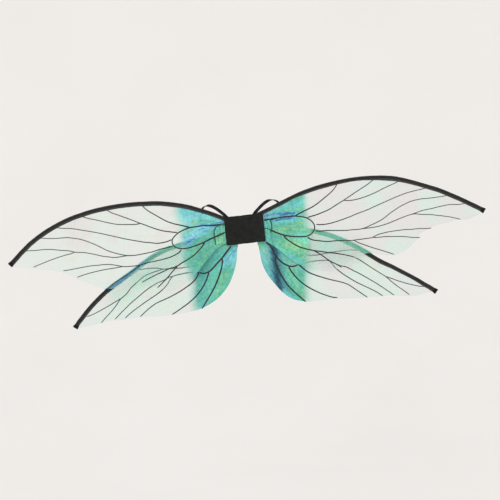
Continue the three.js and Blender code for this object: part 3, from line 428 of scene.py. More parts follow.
def merge(parts):
    verts, faces = [], []
    for v, f in parts:
        base = len(verts)
        verts.extend(v)
        faces.extend([tuple(i + base for i in q) for q in f])
    return verts, faces


def attribute(o, name, values):
    a = o.data.attributes.get(name) or o.data.attributes.new(name, "FLOAT", "POINT")
    a.data.foreach_set("value", np.asarray(values, np.float32))


def planar_uv(o, u, v, name="UVMap"):
    """A UV map from two per-vertex values."""
    layer = o.data.uv_layers.get(name) or o.data.uv_layers.new(name=name)
    idx = np.zeros(len(o.data.loops), np.int32)
    o.data.loops.foreach_get("vertex_index", idx)
    uv = np.stack([np.asarray(u, float)[idx], np.asarray(v, float)[idx]], 1)
    layer.data.foreach_set("uv", uv.astype(np.float32).ravel())


def bodies_for(side):
    return "centre", f"{side}_wing"


def fold_blend(o):
    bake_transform(o)

# --------------------------------------------------------------- materials
def new_mat(name):
    mat = bpy.data.materials.new(name)
    mat.use_nodes = True
    nt = mat.node_tree
    nt.nodes.clear()
    out = nt.nodes.new("ShaderNodeOutputMaterial")
    bsdf = nt.nodes.new("ShaderNodeBsdfPrincipled")
    nt.links.new(bsdf.outputs["BSDF"], out.inputs["Surface"])
    return mat, nt, bsdf


def N(nt, kind, **props):
    n = nt.nodes.new(kind)
    for k, v in props.items():
        setattr(n, k, v)
    return n


def noise(nt, vec, scale, detail=3.0, rough=0.55, dims="3D", distortion=0.0):
    n = N(nt, "ShaderNodeTexNoise", noise_dimensions=dims)
    n.inputs["Scale"].default_value = scale
    n.inputs["Detail"].default_value = detail
    n.inputs["Roughness"].default_value = rough
    n.inputs["Distortion"].default_value = distortion
    if vec is not None:
        nt.links.new(vec, n.inputs["Vector"])
    return n


def ramp(nt, fac, stops, interp="LINEAR"):
    r = N(nt, "ShaderNodeValToRGB")
    r.color_ramp.interpolation = interp
    el = r.color_ramp.elements
    while len(el) > 1:
        el.remove(el[-1])
    el[0].position, el[0].color = stops[0][0], (*stops[0][1], 1)
    for pos, col in stops[1:]:
        e = el.new(pos)
        e.color = (*col, 1)
    nt.links.new(fac, r.inputs["Fac"])
    return r


def maths(nt, op, a, b=None, clamp=False):
    n = N(nt, "ShaderNodeMath", operation=op, use_clamp=clamp)
    for i, v in enumerate((a, b)):
        if v is None:
            continue
        if isinstance(v, (int, float)):
            n.inputs[i].default_value = v
        else:
            nt.links.new(v, n.inputs[i])
    return n.outputs[0]


def mixrgb(nt, fac, a, b, mode="MIX"):
    n = N(nt, "ShaderNodeMix", data_type="RGBA", blend_type=mode)
    for sock, v in ((n.inputs[0], fac), (n.inputs[6], a), (n.inputs[7], b)):
        if isinstance(v, (int, float)):
            sock.default_value = v
        elif isinstance(v, tuple):
            sock.default_value = (*v, 1)
        else:
            nt.links.new(v, sock)
    return n.outputs[2]


def mapping(nt, vec, scale=(1, 1, 1), loc=(0, 0, 0), rot=(0, 0, 0)):
    n = N(nt, "ShaderNodeMapping")
    n.inputs["Scale"].default_value = scale
    n.inputs["Location"].default_value = loc
    n.inputs["Rotation"].default_value = rot
    nt.links.new(vec, n.inputs["Vector"])
    return n.outputs[0]


def bump(nt, bsdf, height, strength, distance):
    b = N(nt, "ShaderNodeBump")
    b.inputs["Strength"].default_value = strength
    b.inputs["Distance"].default_value = distance
    nt.links.new(height, b.inputs["Height"])
    nt.links.new(b.outputs["Normal"], bsdf.inputs["Normal"])
    return b


def coords(nt):
    tc = N(nt, "ShaderNodeTexCoord")
    return tc.outputs["Object"], tc.outputs["UV"]


def felt(name, dark, light, scale=1.0):
    """Dense matted fabric: short crossed fibres over a cloudy ground."""
    mat, nt, bsdf = new_mat(name)
    obj, _ = coords(nt)
    cloud = noise(nt, obj, 90 * scale, 4)
    fib1 = noise(nt, mapping(nt, obj, (900, 900, 240), rot=(0, 0.6, 0)), 1.0, 3, 0.6)
    fib2 = noise(nt, mapping(nt, obj, (240, 900, 900), rot=(0, 0.5, 0)), 1.0, 3, 0.6)
    fibres = maths(nt, "MAXIMUM", fib1.outputs["Fac"], fib2.outputs["Fac"])
    tone = maths(nt, "ADD", maths(nt, "MULTIPLY", cloud.outputs["Fac"], 0.45), maths(nt, "MULTIPLY", fibres, 0.6))
    col = ramp(nt, tone, [(0.38, dark), (0.72, light)])
    nt.links.new(col.outputs["Color"], bsdf.inputs["Base Color"])
    rr = ramp(nt, fibres, [(0.3, (0.98,) * 3), (0.75, (0.8,) * 3)])
    nt.links.new(rr.outputs["Color"], bsdf.inputs["Roughness"])
    bsdf.inputs["Specular IOR Level"].default_value = 0.12
    bsdf.inputs["Sheen Weight"].default_value = 0.02
    bsdf.inputs["Sheen Roughness"].default_value = 0.6
    bump(nt, bsdf, tone, 0.55, 0.0006)
    return mat


def ribbon(name, dark, light, u_scale, v_scale, rough=0.62):
    """Fine plain-woven ribbon, woven in UV space: u across, v along, in mm."""
    mat, nt, bsdf = new_mat(name)
    obj, uv = coords(nt)
    warp = N(nt, "ShaderNodeTexWave", wave_type="BANDS", bands_direction="X", wave_profile="SIN")
    warp.inputs["Scale"].default_value = u_scale
    warp.inputs["Distortion"].default_value = 0.6
    warp.inputs["Detail"].default_value = 1.0
    nt.links.new(uv, warp.inputs["Vector"])
    weft = N(nt, "ShaderNodeTexWave", wave_type="BANDS", bands_direction="Y", wave_profile="SIN")
    weft.inputs["Scale"].default_value = v_scale
    weft.inputs["Distortion"].default_value = 0.6
    weft.inputs["Detail"].default_value = 1.0
    nt.links.new(uv, weft.inputs["Vector"])
    weave = maths(nt, "MULTIPLY", warp.outputs["Fac"], weft.outputs["Fac"])
    cloud = noise(nt, obj, 60, 3)
    tone = maths(nt, "ADD", maths(nt, "MULTIPLY", weave, 0.55), maths(nt, "MULTIPLY", cloud.outputs["Fac"], 0.45))
    col = ramp(nt, tone, [(0.15, dark), (0.8, light)])
    nt.links.new(col.outputs["Color"], bsdf.inputs["Base Color"])
    rr = ramp(nt, tone, [(0.1, (rough + 0.2,) * 3), (0.9, (rough - 0.1,) * 3)])
    nt.links.new(rr.outputs["Color"], bsdf.inputs["Roughness"])
    bsdf.inputs["Sheen Weight"].default_value = 0.02
    bsdf.inputs["Specular IOR Level"].default_value = 0.25
    bump(nt, bsdf, weave, 0.5, 0.00025)
    return mat


def film_material(name, seed, pale_bias, body=0.27):
    """Iridescent film. The mesh carries tone (place in the interference order), lum
    (how brightly it answers, with painted highlights and painted shade), the painted
    reflection mask (strong colour by the patch, a painted reflection where the film lies
    over something dark) and the painted shade along creases. Fine crinkle and streaks come from noise."""
    mat, nt, bsdf = new_mat(name)
    obj, uv = coords(nt)

    def attr(n_):
        return N(nt, "ShaderNodeAttribute", attribute_name=n_, attribute_type="GEOMETRY").outputs["Fac"]
    reflection_mask, tone0, lum, crease_shade = attr("painted_reflection"), attr("tone"), attr("lum"), attr("crease_shade")
    fine = noise(nt, mapping(nt, uv, (4.2, 22.0, 1), (seed * 1.3, seed, 0)), 1.0, 4, 0.6, distortion=0.4)
    mott = noise(nt, mapping(nt, obj, (1, 1, 1), (seed * 0.21, 0, seed * 0.13)), 210, 4, 0.62)
    cloud = noise(nt, mapping(nt, obj, (1, 1, 1), (seed * 0.11, 0, seed * 0.07)), 15, 2.5, 0.5)
    facet = N(nt, "ShaderNodeTexVoronoi", feature="SMOOTH_F1")
    facet.inputs["Scale"].default_value = 26
    facet.inputs["Smoothness"].default_value = 0.35
    nt.links.new(mapping(nt, obj, (1, 0.1, 1.25), (seed * 0.3, 0, seed * 0.17), (0, 0.4, 0)), facet.inputs["Vector"])
    sep = N(nt, "ShaderNodeSeparateColor")
    nt.links.new(facet.outputs["Color"], sep.inputs[0])
    cell = sep.outputs[0]
    t1 = maths(nt, "ADD", tone0, maths(nt, "MULTIPLY", maths(nt, "SUBTRACT", fine.outputs["Fac"], 0.5), 0.29))
    tone = maths(nt, "ADD", t1, maths(nt, "MULTIPLY", maths(nt, "SUBTRACT", mott.outputs["Fac"], 0.5), 0.15))
    # painted reflection: the strong interference colours the film shows where a dark backing lies behind it
    reflection_col = ramp(nt, tone, [
        (0.28, (0.07, 0.12, 0.42)), (0.35, (0.10, 0.27, 0.56)), (0.41, (0.185, 0.60, 0.69)),
        (0.47, (0.135, 0.51, 0.48)), (0.54, (0.145, 0.52, 0.38)), (0.60, (0.21, 0.54, 0.31)),
        (0.66, (0.33, 0.57, 0.30)), (0.73, (0.40, 0.42, 0.22))])
    speck = ramp(nt, mott.outputs["Fac"], [(0.34, (0.74,) * 3), (0.50, (0.99,) * 3), (0.68, (1.22,) * 3)])
    reflection_col2 = mixrgb(nt, 1.0, reflection_col.outputs["Color"], speck.outputs["Color"], "MULTIPLY")
    lumv = N(nt, "ShaderNodeCombineColor")
    for k in range(3):
        nt.links.new(lum, lumv.inputs[k])
    reflection_col3 = mixrgb(nt, 1.0, reflection_col2, lumv.outputs[0], "MULTIPLY")
    pt = maths(nt, "ADD", maths(nt, "MULTIPLY", cell, 0.20),
               maths(nt, "ADD", maths(nt, "MULTIPLY", cloud.outputs["Fac"], 0.56), maths(nt, "MULTIPLY", fine.outputs["Fac"], 0.24)))
    pt = maths(nt, "ADD", pt, pale_bias)
    pale_col = ramp(nt, pt, [
        (0.34, (0.58, 0.51, 0.54)), (0.42, (0.57, 0.59, 0.58)), (0.49, (0.50, 0.68, 0.63)),
        (0.56, (0.42, 0.76, 0.66)), (0.62, (0.52, 0.75, 0.59)), (0.69, (0.60, 0.58, 0.57))])
    col = mixrgb(nt, reflection_mask, pale_col.outputs["Color"], reflection_col3)
    nt.links.new(col, bsdf.inputs["Base Color"])
    # painted reflection: where the painted reflection mask is 1 the film turns nearly opaque, standing in for the dark
    # backing behind it
    a0 = maths(nt, "ADD", body, maths(nt, "MULTIPLY", reflection_mask, 0.95 - body))
    a1 = maths(nt, "MULTIPLY", maths(nt, "SUBTRACT", cloud.outputs["Fac"], 0.5), 0.30)
    # painted shade: along creases and steep ripples the film is made denser, so it shows darker over a pale background
    a2 = maths(nt, "MULTIPLY", crease_shade, 0.20)
    a3 = maths(nt, "MULTIPLY", maths(nt, "SUBTRACT", cell, 0.5), 0.10)
    a4 = maths(nt, "MULTIPLY", maths(nt, "SUBTRACT", 1.0, lum), maths(nt, "MULTIPLY", reflection_mask, 0.12))
    a5 = maths(nt, "ADD", maths(nt, "ADD", a2, a3), a4)
    alpha = maths(nt, "ADD", maths(nt, "ADD", a0, a1), a5, clamp=True)
    nt.links.new(alpha, bsdf.inputs["Alpha"])
    rr = ramp(nt, fine.outputs["Fac"], [(0.3, (0.22,) * 3), (0.7, (0.38,) * 3)])
    nt.links.new(rr.outputs["Color"], bsdf.inputs["Roughness"])
    bsdf.inputs["Specular IOR Level"].default_value = 0.5
    bsdf.inputs["IOR"].default_value = 1.36
    bsdf.inputs["Thin Film Thickness"].default_value = 430.0
    bsdf.inputs["Thin Film IOR"].default_value = 1.5
    h = maths(nt, "ADD", maths(nt, "MULTIPLY", fine.outputs["Fac"], 0.6),
              maths(nt, "ADD", maths(nt, "MULTIPLY", mott.outputs["Fac"], 0.35), maths(nt, "MULTIPLY", cloud.outputs["Fac"], 0.8)))
    bump(nt, bsdf, h, 0.45, 0.0014)
    return mat


def vein_material():
    """Black flock print, thinner towards the tips."""
    mat, nt, bsdf = new_mat("vein_print")
    obj, _ = coords(nt)
    ink = N(nt, "ShaderNodeAttribute", attribute_name="ink", attribute_type="GEOMETRY").outputs["Fac"]
    n1 = noise(nt, obj, 700, 3)
    col = ramp(nt, n1.outputs["Fac"], [(0.3, (0.006, 0.007, 0.008)), (0.75, (0.022, 0.024, 0.024))])
    nt.links.new(col.outputs["Color"], bsdf.inputs["Base Color"])
    nt.links.new(ink, bsdf.inputs["Alpha"])
    rr = ramp(nt, n1.outputs["Fac"], [(0.3, (0.7,) * 3), (0.7, (0.45,) * 3)])
    nt.links.new(rr.outputs["Color"], bsdf.inputs["Roughness"])
    bump(nt, bsdf, n1.outputs["Fac"], 0.4, 0.0002)
    return mat


def moulded(name, dark, light, rough):
    mat, nt, bsdf = new_mat(name)
    obj, _ = coords(nt)
    n1 = noise(nt, obj, 450, 3)
    n2 = noise(nt, obj, 25, 2)
    tone = maths(nt, "ADD", maths(nt, "MULTIPLY", n1.outputs["Fac"], 0.5), maths(nt, "MULTIPLY", n2.outputs["Fac"], 0.5))
    col = ramp(nt, tone, [(0.3, dark), (0.7, light)])
    nt.links.new(col.outputs["Color"], bsdf.inputs["Base Color"])
    rr = ramp(nt, tone, [(0.3, (rough + 0.1,) * 3), (0.7, (rough - 0.08,) * 3)])
    nt.links.new(rr.outputs["Color"], bsdf.inputs["Roughness"])
    bump(nt, bsdf, n1.outputs["Fac"], 0.15, 0.0002)
    return mat


MAT = {
    "patch": felt("patch_felt", (0.008, 0.0082, 0.0080), (0.0205, 0.0212, 0.0206)),
    "pad": felt("pad_felt", (0.005, 0.005, 0.0055), (0.016, 0.016, 0.017), 1.3),
    "tunnel": ribbon("casing_tunnel", (0.010, 0.011, 0.011), (0.030, 0.032, 0.031), 5.0, 5.0, 0.5),
    # painted sheen: the hem is the same black ribbon as the tunnel, in a lighter copy for the sheen on its flat face
    "hem": ribbon("casing_hem_sheen", (0.030, 0.034, 0.032), (0.085, 0.093, 0.087), 5.0, 5.0, 0.6),
    "elastic": ribbon("strap_elastic", (0.003, 0.003, 0.0035), (0.014, 0.014, 0.015), 3.0, 2.2, 0.75),
    "cap": ribbon("tip_cap_cloth", (0.002, 0.002, 0.0025), (0.010, 0.010, 0.011), 3.0, 3.0, 0.7),
    "thread": moulded("thread", (0.012, 0.012, 0.013), (0.05, 0.05, 0.052), 0.6),
    "vein": vein_material(),
    "rod": moulded("rod_plastic", (0.015, 0.015, 0.017), (0.03, 0.03, 0.033), 0.4),
    "board": moulded("board", (0.10, 0.10, 0.105), (0.16, 0.16, 0.165), 0.7),
    "foam": moulded("foam", (0.12, 0.12, 0.12), (0.2, 0.2, 0.2), 0.9),
    "film_fore_left": film_material("film_fore_left", 1.7, 0.08, 0.23),
    "film_fore_right": film_material("film_fore_right", 5.9, -0.05, 0.31),
    "film_hind_left": film_material("film_hind_left", 9.3, 0.03, 0.31),
    "film_hind_right": film_material("film_hind_right", 14.1, 0.03, 0.33),
}


def assign(o, *keys):
    o.data.materials.clear()
    for k in keys:
        o.data.materials.append(MAT[k])

# ------------------------------------------------------------------- films
# Bands and patches of interference colour by the root, with painted light. Each: kind, (x, z) start,
# (x, z) end, half width, tone, strength, brightness. The brightness, where it is used, paints
# highlights (above 1) and shade in the folds (below 1). Kind "t" pulls the tone to a value;
# "l" only changes the brightness, as a painted highlight or painted shade; "v" paints the film's
# strong reflected colour where a dark backing lies behind it; "c" paints shade along creases as denser film.
ACCENTS = {
    "fore_left": [
        ("t", (-112, 38), (-60, 44), 16, 0.415, 0.9, 1.10),
        ("t", (-112, 18), (-70, 30), 7, 0.43, 0.7, 1.05),
        ("t", (-120, -12), (-58, 18), 9, 0.41, 0.85, 1.08),
        ("t", (-122, -18), (-60, 9), 4.2, 0.335, 0.92, 0.98),
        ("t", (-116, -4), (-66, 15), 2.4, 0.36, 0.70, 1.05),
        ("t", (-80, 17.5), (-33, 17.5), 3.4, 0.33, 0.97, 0.84),
        ("t", (-90, 25), (-56, 21), 3.6, 0.62, 0.55, 0.86),
        ("t", (-84, -36), (-62, -12), 16, 0.54, 0.8, 1.0),
        ("t", (-96, -34), (-84, -20), 6, 0.60, 0.5, 1.02),
        ("l", (-36, 3), (-34, 12), 2.2, 0.45, 0.9, 1.6),
        ("l", (-34, -8), (-33, -22), 1.6, 0.45, 0.8, 1.4),
        ("c", (-128, 30), (-250, 52), 0.8, 0, 0.5, 0), ("c", (-150, 6), (-330, 20), 0.7, 0, 0.35, 0),
        ("c", (-205, 70), (-228, -40), 0.8, 0, 0.4, 0), ("c", (-300, 60), (-318, -20), 0.8, 0, 0.35, 0),
    ],
    "hind_left": [
        ("t", (-84, -66), (-58, -40), 11, 0.47, 0.9, 0.70),
        ("t", (-46, -62), (-24, -40), 8, 0.415, 0.9, 1.10),
        ("t", (-50, -66), (-20, -32), 2.6, 0.33, 0.75, 1.0),
        ("t", (-36, -74), (-24, -50), 2.2, 0.35, 0.7, 1.05),
        ("t", (-62, -112), (-42, -74), 12, 0.55, 0.8, 1.02),
        ("t", (-66, -114), (-46, -76), 3.0, 0.63, 0.6, 0.92),
        ("t", (-100, -104), (-84, -50), 15, 0.475, 0.85, 0.74),
        ("l", (-52, -94), (-40, -52), 2.8, 0.45, 0.6, 0.76),
        ("v", (-124, -32), (-240, -94), 17, 0.65, 0.44, 1.0),
        ("c", (-130, -80), (-250, -120), 0.8, 0, 0.4, 0), ("c", (-180, -60), (-196, -140), 0.8, 0, 0.35, 0),
    ],
    "fore_right": [
        ("t", (60, 33), (116, 38), 9, 0.44, 0.9, 1.10),
        ("t", (56, 23), (114, 27), 4.5, 0.54, 0.9, 1.04),
        ("t", (36, 22), (94, 19.5), 3.6, 0.33, 0.97, 0.84),
        ("t", (38, 11.5), (90, 10), 5.2, 0.35, 0.95, 0.76),
        ("t", (58, -6), (114, -8), 9, 0.54, 0.8, 1.0),
        ("t", (62, -8), (104, -13), 3.4, 0.64, 0.6, 0.95),
        ("t", (80, -2), (112, 1), 2.6, 0.62, 0.5, 0.95),
        ("t", (62, -26), (98, -50), 14, 0.62, 0.85, 1.04),
        ("t", (42, -16), (60, -26), 8, 0.50, 0.7, 1.0),
        ("l", (44, 14), (41, 2), 3.2, 0.45, 0.7, 1.4),
        ("l", (37, 12), (36.5, -14), 1.6, 0.45, 0.9, 1.6),
        ("l", (48, -18), (49, -40), 3.4, 0.45, 0.7, 0.62),
        ("v", (116, -32), (184, -52), 19, 0.65, 0.36, 1.0),
        ("c", (122, 30), (128, 6), 1.0, 0, 0.9, 0), ("c", (160, 26), (400, 8), 0.7, 0, 0.45, 0),
        ("c", (180, 20), (330, 4), 0.6, 0, 0.35, 0), ("c", (250, 70), (262, -40), 0.8, 0, 0.4, 0),
        ("c", (340, 40), (348, -40), 0.7, 0, 0.35, 0),
    ],
    "hind_right": [
        ("t", (50, -34), (50, -114), 11.0, 0.34, 0.98, 0.20),
        ("l", (56, -92), (70, -118), 6.0, 0.45, 0.70, 0.50),
        ("t", (24, -40), (36, -100), 6, 0.455, 0.85, 0.96),
        ("t", (78, -84), (98, -128), 14, 0.55, 0.8, 0.92),
        ("t", (74, -96), (92, -136), 3.0, 0.63, 0.6, 0.9),
        ("t", (100, -96), (104, -130), 4, 0.50, 0.7, 1.0),
        ("t", (26, -30), (31, -44), 3.0, 0.60, 0.8, 1.1),
        ("v", (112, -54), (180, -74), 20, 0.65, 0.34, 1.0),
        ("c", (128, -90), (260, -120), 0.8, 0, 0.4, 0), ("c", (196, -60), (204, -150), 0.8, 0, 0.35, 0),
    ],
}


def film_fields(key, x, z):
    """Streak coordinates, tone, brightness with its painted highlights and shade, and the painted reflection mask of
    film points.
    """
    pair, side = key.split("_")
    root = (24.0, 6.0) if pair == "fore" else (20.0, -12.0)
    rx, rz = np.abs(x) - root[0] + 16, z - root[1]
    rad, ang = np.hypot(rx, rz), np.arctan2(rz, rx)
    seed = {"fore_left": 71, "fore_right": 72, "hind_left": 73, "hind_right": 74}[key]
    wob = value_noise(x / 26 + 50, z / 22 + 50, 77) * 6
    # painted reflection mask: strong colour near the root, where a dark backing lies behind the film
    painted_reflection = 1 - smooth(104, 129, np.abs(x) + wob + 0.10 * np.maximum(0, -z - 20))
    crease_shade = np.zeros_like(x)
    tone = (0.50 + 0.055 * value_noise(rad / 34 + 11, ang * 6 + 30, seed)
            + 0.035 * value_noise(rad / 60 + 5, ang * 19 + 30, seed + 9))
    lum = 0.97 + 0.12 * value_noise(rad / 28 + 3, ang * 8 + 12, seed + 5)
    for kind, a, b, w, t_, k, l_ in ACCENTS[key]:
        a, b = np.array(a, float), np.array(b, float)
        d = b - a
        L = np.hypot(*d)
        d /= L
        u = (x - a[0]) * d[0] + (z - a[1]) * d[1]
        v = -(x - a[0]) * d[1] + (z - a[1]) * d[0]
        v = v + 0.34 * min(w, 6) * value_noise(u / 13 + 20, v * 0 + w, seed + int(10 * w))
        over = np.maximum(0, np.maximum(-u, u - L)) / (1.3 * w)
        g = k * np.exp(-((v / w) ** 2) - over**2)
        if kind == "c":
            crease_shade = np.maximum(crease_shade, g)
            continue
        if kind in "tv":
            tone = tone * (1 - g) + t_ * g
        # painted reflection: v bands strengthen and brighten the colour where a dark backing lies behind the film
        if kind == "v":
            painted_reflection = np.maximum(painted_reflection, g)
            lum = lum + 1.1 * g
            continue
        # painted highlight or painted shade from the brightness column
        lum = lum * (1 - g) + lum * l_ * g
    return rad / 100, ang, painted_reflection, tone, lum, crease_shade


def casing_reflection_band(key, x, z):
    """1 where the fore film lies over the hind casing, which is dark behind it; there the film's reflection over the
    dark casing is painted in.
    """
    pair, side = key.split("_")
    if pair == "hind":
        return np.zeros_like(x)
    other = f"hind_{side}"
    dz = z - spar_z(other, x)
    slope = (spar_z(other, x + 1) - spar_z(other, x - 1)) / 2
    dist = dz / np.sqrt(1 + slope**2) - 0.2
    return 1 - smooth(3.9, 5.2, np.abs(dist))


def make_film(key):
    pair, side = key.split("_")
    sg = SIGN[side]
    line, edge = SPAR[key], EDGE[key]
    x_tip = min(sg * edge[-1, 0], sg * line[-1, 0] - 1.0)
    x_in = 31.0 if pair == "fore" else max(sg * edge[0, 0], 15.0) + 0.4
    ax = np.r_[np.arange(x_in, 130, 0.9), np.arange(130, x_tip, 1.35), [x_tip]]
    n_u = len(ax)
    n_v = 84
    v = np.linspace(0, 1, n_v) ** 0.96
    top = spar_z(key, sg * ax) - 0.9
    if pair == "hind":
        inner = ax < 34.5
        lift = smooth(x_in, 34.5, ax)
        top = np.where(inner, -23.0 + (spar_z(key, sg * 34.5) - 0.9 + 23.0) * lift, top)
    bottom = np.minimum(edge_z(key, sg * ax), top - 0.35)
    X = np.repeat(sg * ax[:, None], n_v, 1)
    Z = top[:, None] + (bottom - top)[:, None] * v[None, :]
    Y = film_y(key, X, Z)
    verts = np.stack([X, Y, Z], -1).reshape(-1, 3)
    faces = grid_faces(n_u, n_v)
    if sg < 0:
        faces = [f[::-1] for f in faces]
    o = mesh_object(f"film_{key}", verts, faces)
    u, w, painted_reflection, tone, lum, lines = film_fields(key, X.ravel(), Z.ravel())
    reflection_band = casing_reflection_band(key, X.ravel(), Z.ravel())
    if pair == "fore":
        # painted reflection: over the dark casing the film's strong reflected colour is painted in, streaked along it;
        # on the left a darker line is painted along the casing's middle
        xa = np.abs(X.ravel())
        off = Z.ravel() - spar_z(f"hind_{side}", X.ravel())
        run = value_noise(xa / 14 + 4, off / 1.6 + 9, 91)
        if side == "right":
            btone, blum = 0.535 + 0.04 * run, 0.74 + 0.08 * run
        else:
            far = smooth(140, 225, xa)
            core = np.exp(-((off + 0.4) / 1.5) ** 2) * smooth(135, 165, xa) * (1 - smooth(205, 235, xa))
            btone = 0.545 - 0.195 * far + 0.05 * run
            blum = (0.86 - 0.12 * far + 0.16 * run) * (1 - 0.66 * core)
        away = reflection_band * (1 - painted_reflection)
        tone = tone * (1 - away) + btone * away
        lum = lum * (1 - away) + blum * away
        painted_reflection = np.maximum(painted_reflection, reflection_band * (0.90 if side == "right" else 0.84))
    planar_uv(o, u, w)
    attribute(o, "painted_reflection", painted_reflection)
    attribute(o, "tone", tone)
    attribute(o, "lum", lum)
    fine = Y - base_y(pair, X)
    gx = np.gradient(fine, axis=0) / np.gradient(X, axis=0)
    # painted shade: the film is made denser where its ripples slope steeply
    crease_shade = np.clip(np.abs(gx) * 1.6, 0, 1)
    attribute(o, "crease_shade", np.maximum(crease_shade.ravel(), lines))
    assign(o, f"film_{key}")
    area = float(np.sum((top - bottom)[:-1] * np.diff(ax))) * 1e-6
    w_, l_ = (x_tip - x_in) * MM, float((top.max() - bottom.min())) * MM
    area = max(area, 0.301 * w_ * l_)
    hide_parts(f"{pair}_film_{side}")
    fold_blend(o)
    return o


TUCKS = {  # outer edge as (x, z), top to bottom
    "left": [(-47, 13.5), (-53, 10), (-56.6, 4), (-57.6, -4), (-57.4, -13), (-57.0, -22)],
    "right": [(44, 15.5), (48.5, 12), (50.6, 6), (50.6, -1), (49.6, -6), (47.6, -12)],
}


def tuck_edge(side):
    p = catmull(TUCKS[side], 0.7)
    keep = [0]
    for i in range(1, len(p)):
        if p[i, 1] < p[keep[-1], 1] - 0.05:
            keep.append(i)
    return p[keep]


def tuck_offset(side, ax, z):
    """How far the loose folds stand off the film at distance ax, height z; 0 outside."""
    p = tuck_edge(side)
    ax, z = np.asarray(ax, float), np.asarray(z, float)
    xe = np.interp(-z, -p[:, 1], np.abs(p[:, 0]))
    s = np.clip((p[0, 1] - z) / (p[0, 1] - p[-1, 1]), 0, 1)
    lift = np.sin(np.pi * np.minimum(1, s * 4) / 2) * np.sin(np.pi * np.minimum(1, (1 - s) * 4) / 2)
    t_ = np.clip((ax - 34.2) / (xe - 34.2), 0, 1)
    seed = 17 if side == "left" else 29
    pl = 0.34 * np.sin(ax * 1.1 + seed + 0.12 * z) + 0.20 * np.sin(ax * 2.3 + seed)
    off = 0.45 + 0.60 * lift * (0.5 + 0.5 * t_) + pl * lift * (1 - t_**3) * 0.8
    inside = (ax <= xe + 0.2) & (z <= p[0, 1]) & (z >= p[-1, 1])
    return np.where(inside, off, 0.0)


def make_tuck(side):
    """Loose folds of the film where it is gathered into the patch."""
    key = f"fore_{side}"
    sg = SIGN[side]
    edge = tuck_edge(side)
    seed = 17 if side == "left" else 29
    cols = []
    for xe, ze in edge:
        row = []
        span = abs(xe) - 34.2
        for t_ in np.linspace(0, 1, 30):                       # front leaf, patch to edge
            ax = 34.2 + span * t_
            row.append((sg * ax, float(film_y(key, sg * ax, ze)) - float(tuck_offset(side, ax, ze)), ze))
        xf, yf = row[-1][0], row[-1][1]
        yb = float(film_y(key, xe, ze))
        r = max(0.08, (yb - 0.12 - yf) / 2)
        for a in np.linspace(0.15, 1, 9) * math.pi:            # rolled edge
            row.append((xf + sg * r * math.sin(a), yf + r * (1 - math.cos(a)), ze))
        for t_ in np.linspace(0.15, 1, 6):                     # back leaf, tucked under
            row.append((xf - sg * 3.4 * t_, yf + 2 * r - 0.04 * t_, ze))
        cols.append(row)
    nv = len(cols[0])
    verts = [p for row in cols for p in row]
    faces = grid_faces(len(cols), nv)
    if sg > 0:
        faces = [f[::-1] for f in faces]
    o = mesh_object(f"tuck_{side}", verts, faces)
    P = np.array(verts)
    u, w, painted_reflection, tone, lum, _ = film_fields(key, P[:, 0], P[:, 2])
    k_ = np.tile(np.arange(nv), len(cols))
    # painted light on the folds: painted shade at the rolled edge, in dark dashes, in a shadow line just inside the
    # outer edge and along the top, painted glints near the patch, and fold noise that brightens and darkens the pleats
    roll_shade = np.exp(-(((k_ - 31) / 3.0) ** 2))
    fold = value_noise(np.abs(P[:, 0]) / 1.9 + 3, P[:, 2] / 16 + 8, seed)
    dark = np.exp(-(((np.abs(P[:, 0]) - (44.5 if side == "left" else 41.5)) / 0.8) ** 2)) * (0.5 + 0.5 * np.sin(P[:, 2] * 1.5))
    xe_ = np.abs(np.repeat(edge[:, 0], nv))
    rim_shadow = np.exp(-(((xe_ - 1.0 - np.abs(P[:, 0])) / 1.5) ** 2)) * (k_ < 32)
    glint = np.exp(-(((np.abs(P[:, 0]) - 36.0) / 0.9) ** 2)) * (k_ < 30) * np.clip(0.4 + value_noise(P[:, 2] / 2.2 + 40, P[:, 2] * 0, seed + 5), 0, 1)
    top = np.exp(-(((edge[0, 1] - 1.2 - P[:, 2]) / 1.1) ** 2)) * (k_ < 32)
    lum = (1.04 + 0.42 * fold) * (1 - 0.72 * roll_shade) * (1 - 0.72 * dark) * (1 - 0.9 * rim_shadow) * (1 - 0.75 * top) + 1.1 * glint
    tone = (0.50 if side == "right" else 0.515) + 0.05 * fold + 0.05 * (1 - smooth(-14, 2, P[:, 2]))
    planar_uv(o, u, w)
    # painted reflection: the tucks take the strong colour of film over a dark backing
    attribute(o, "painted_reflection", np.ones(len(P)))
    attribute(o, "tone", tone)
    attribute(o, "lum", lum)
    attribute(o, "crease_shade", np.zeros(len(P)))
    assign(o, f"film_{key}")
    fold_blend(o)


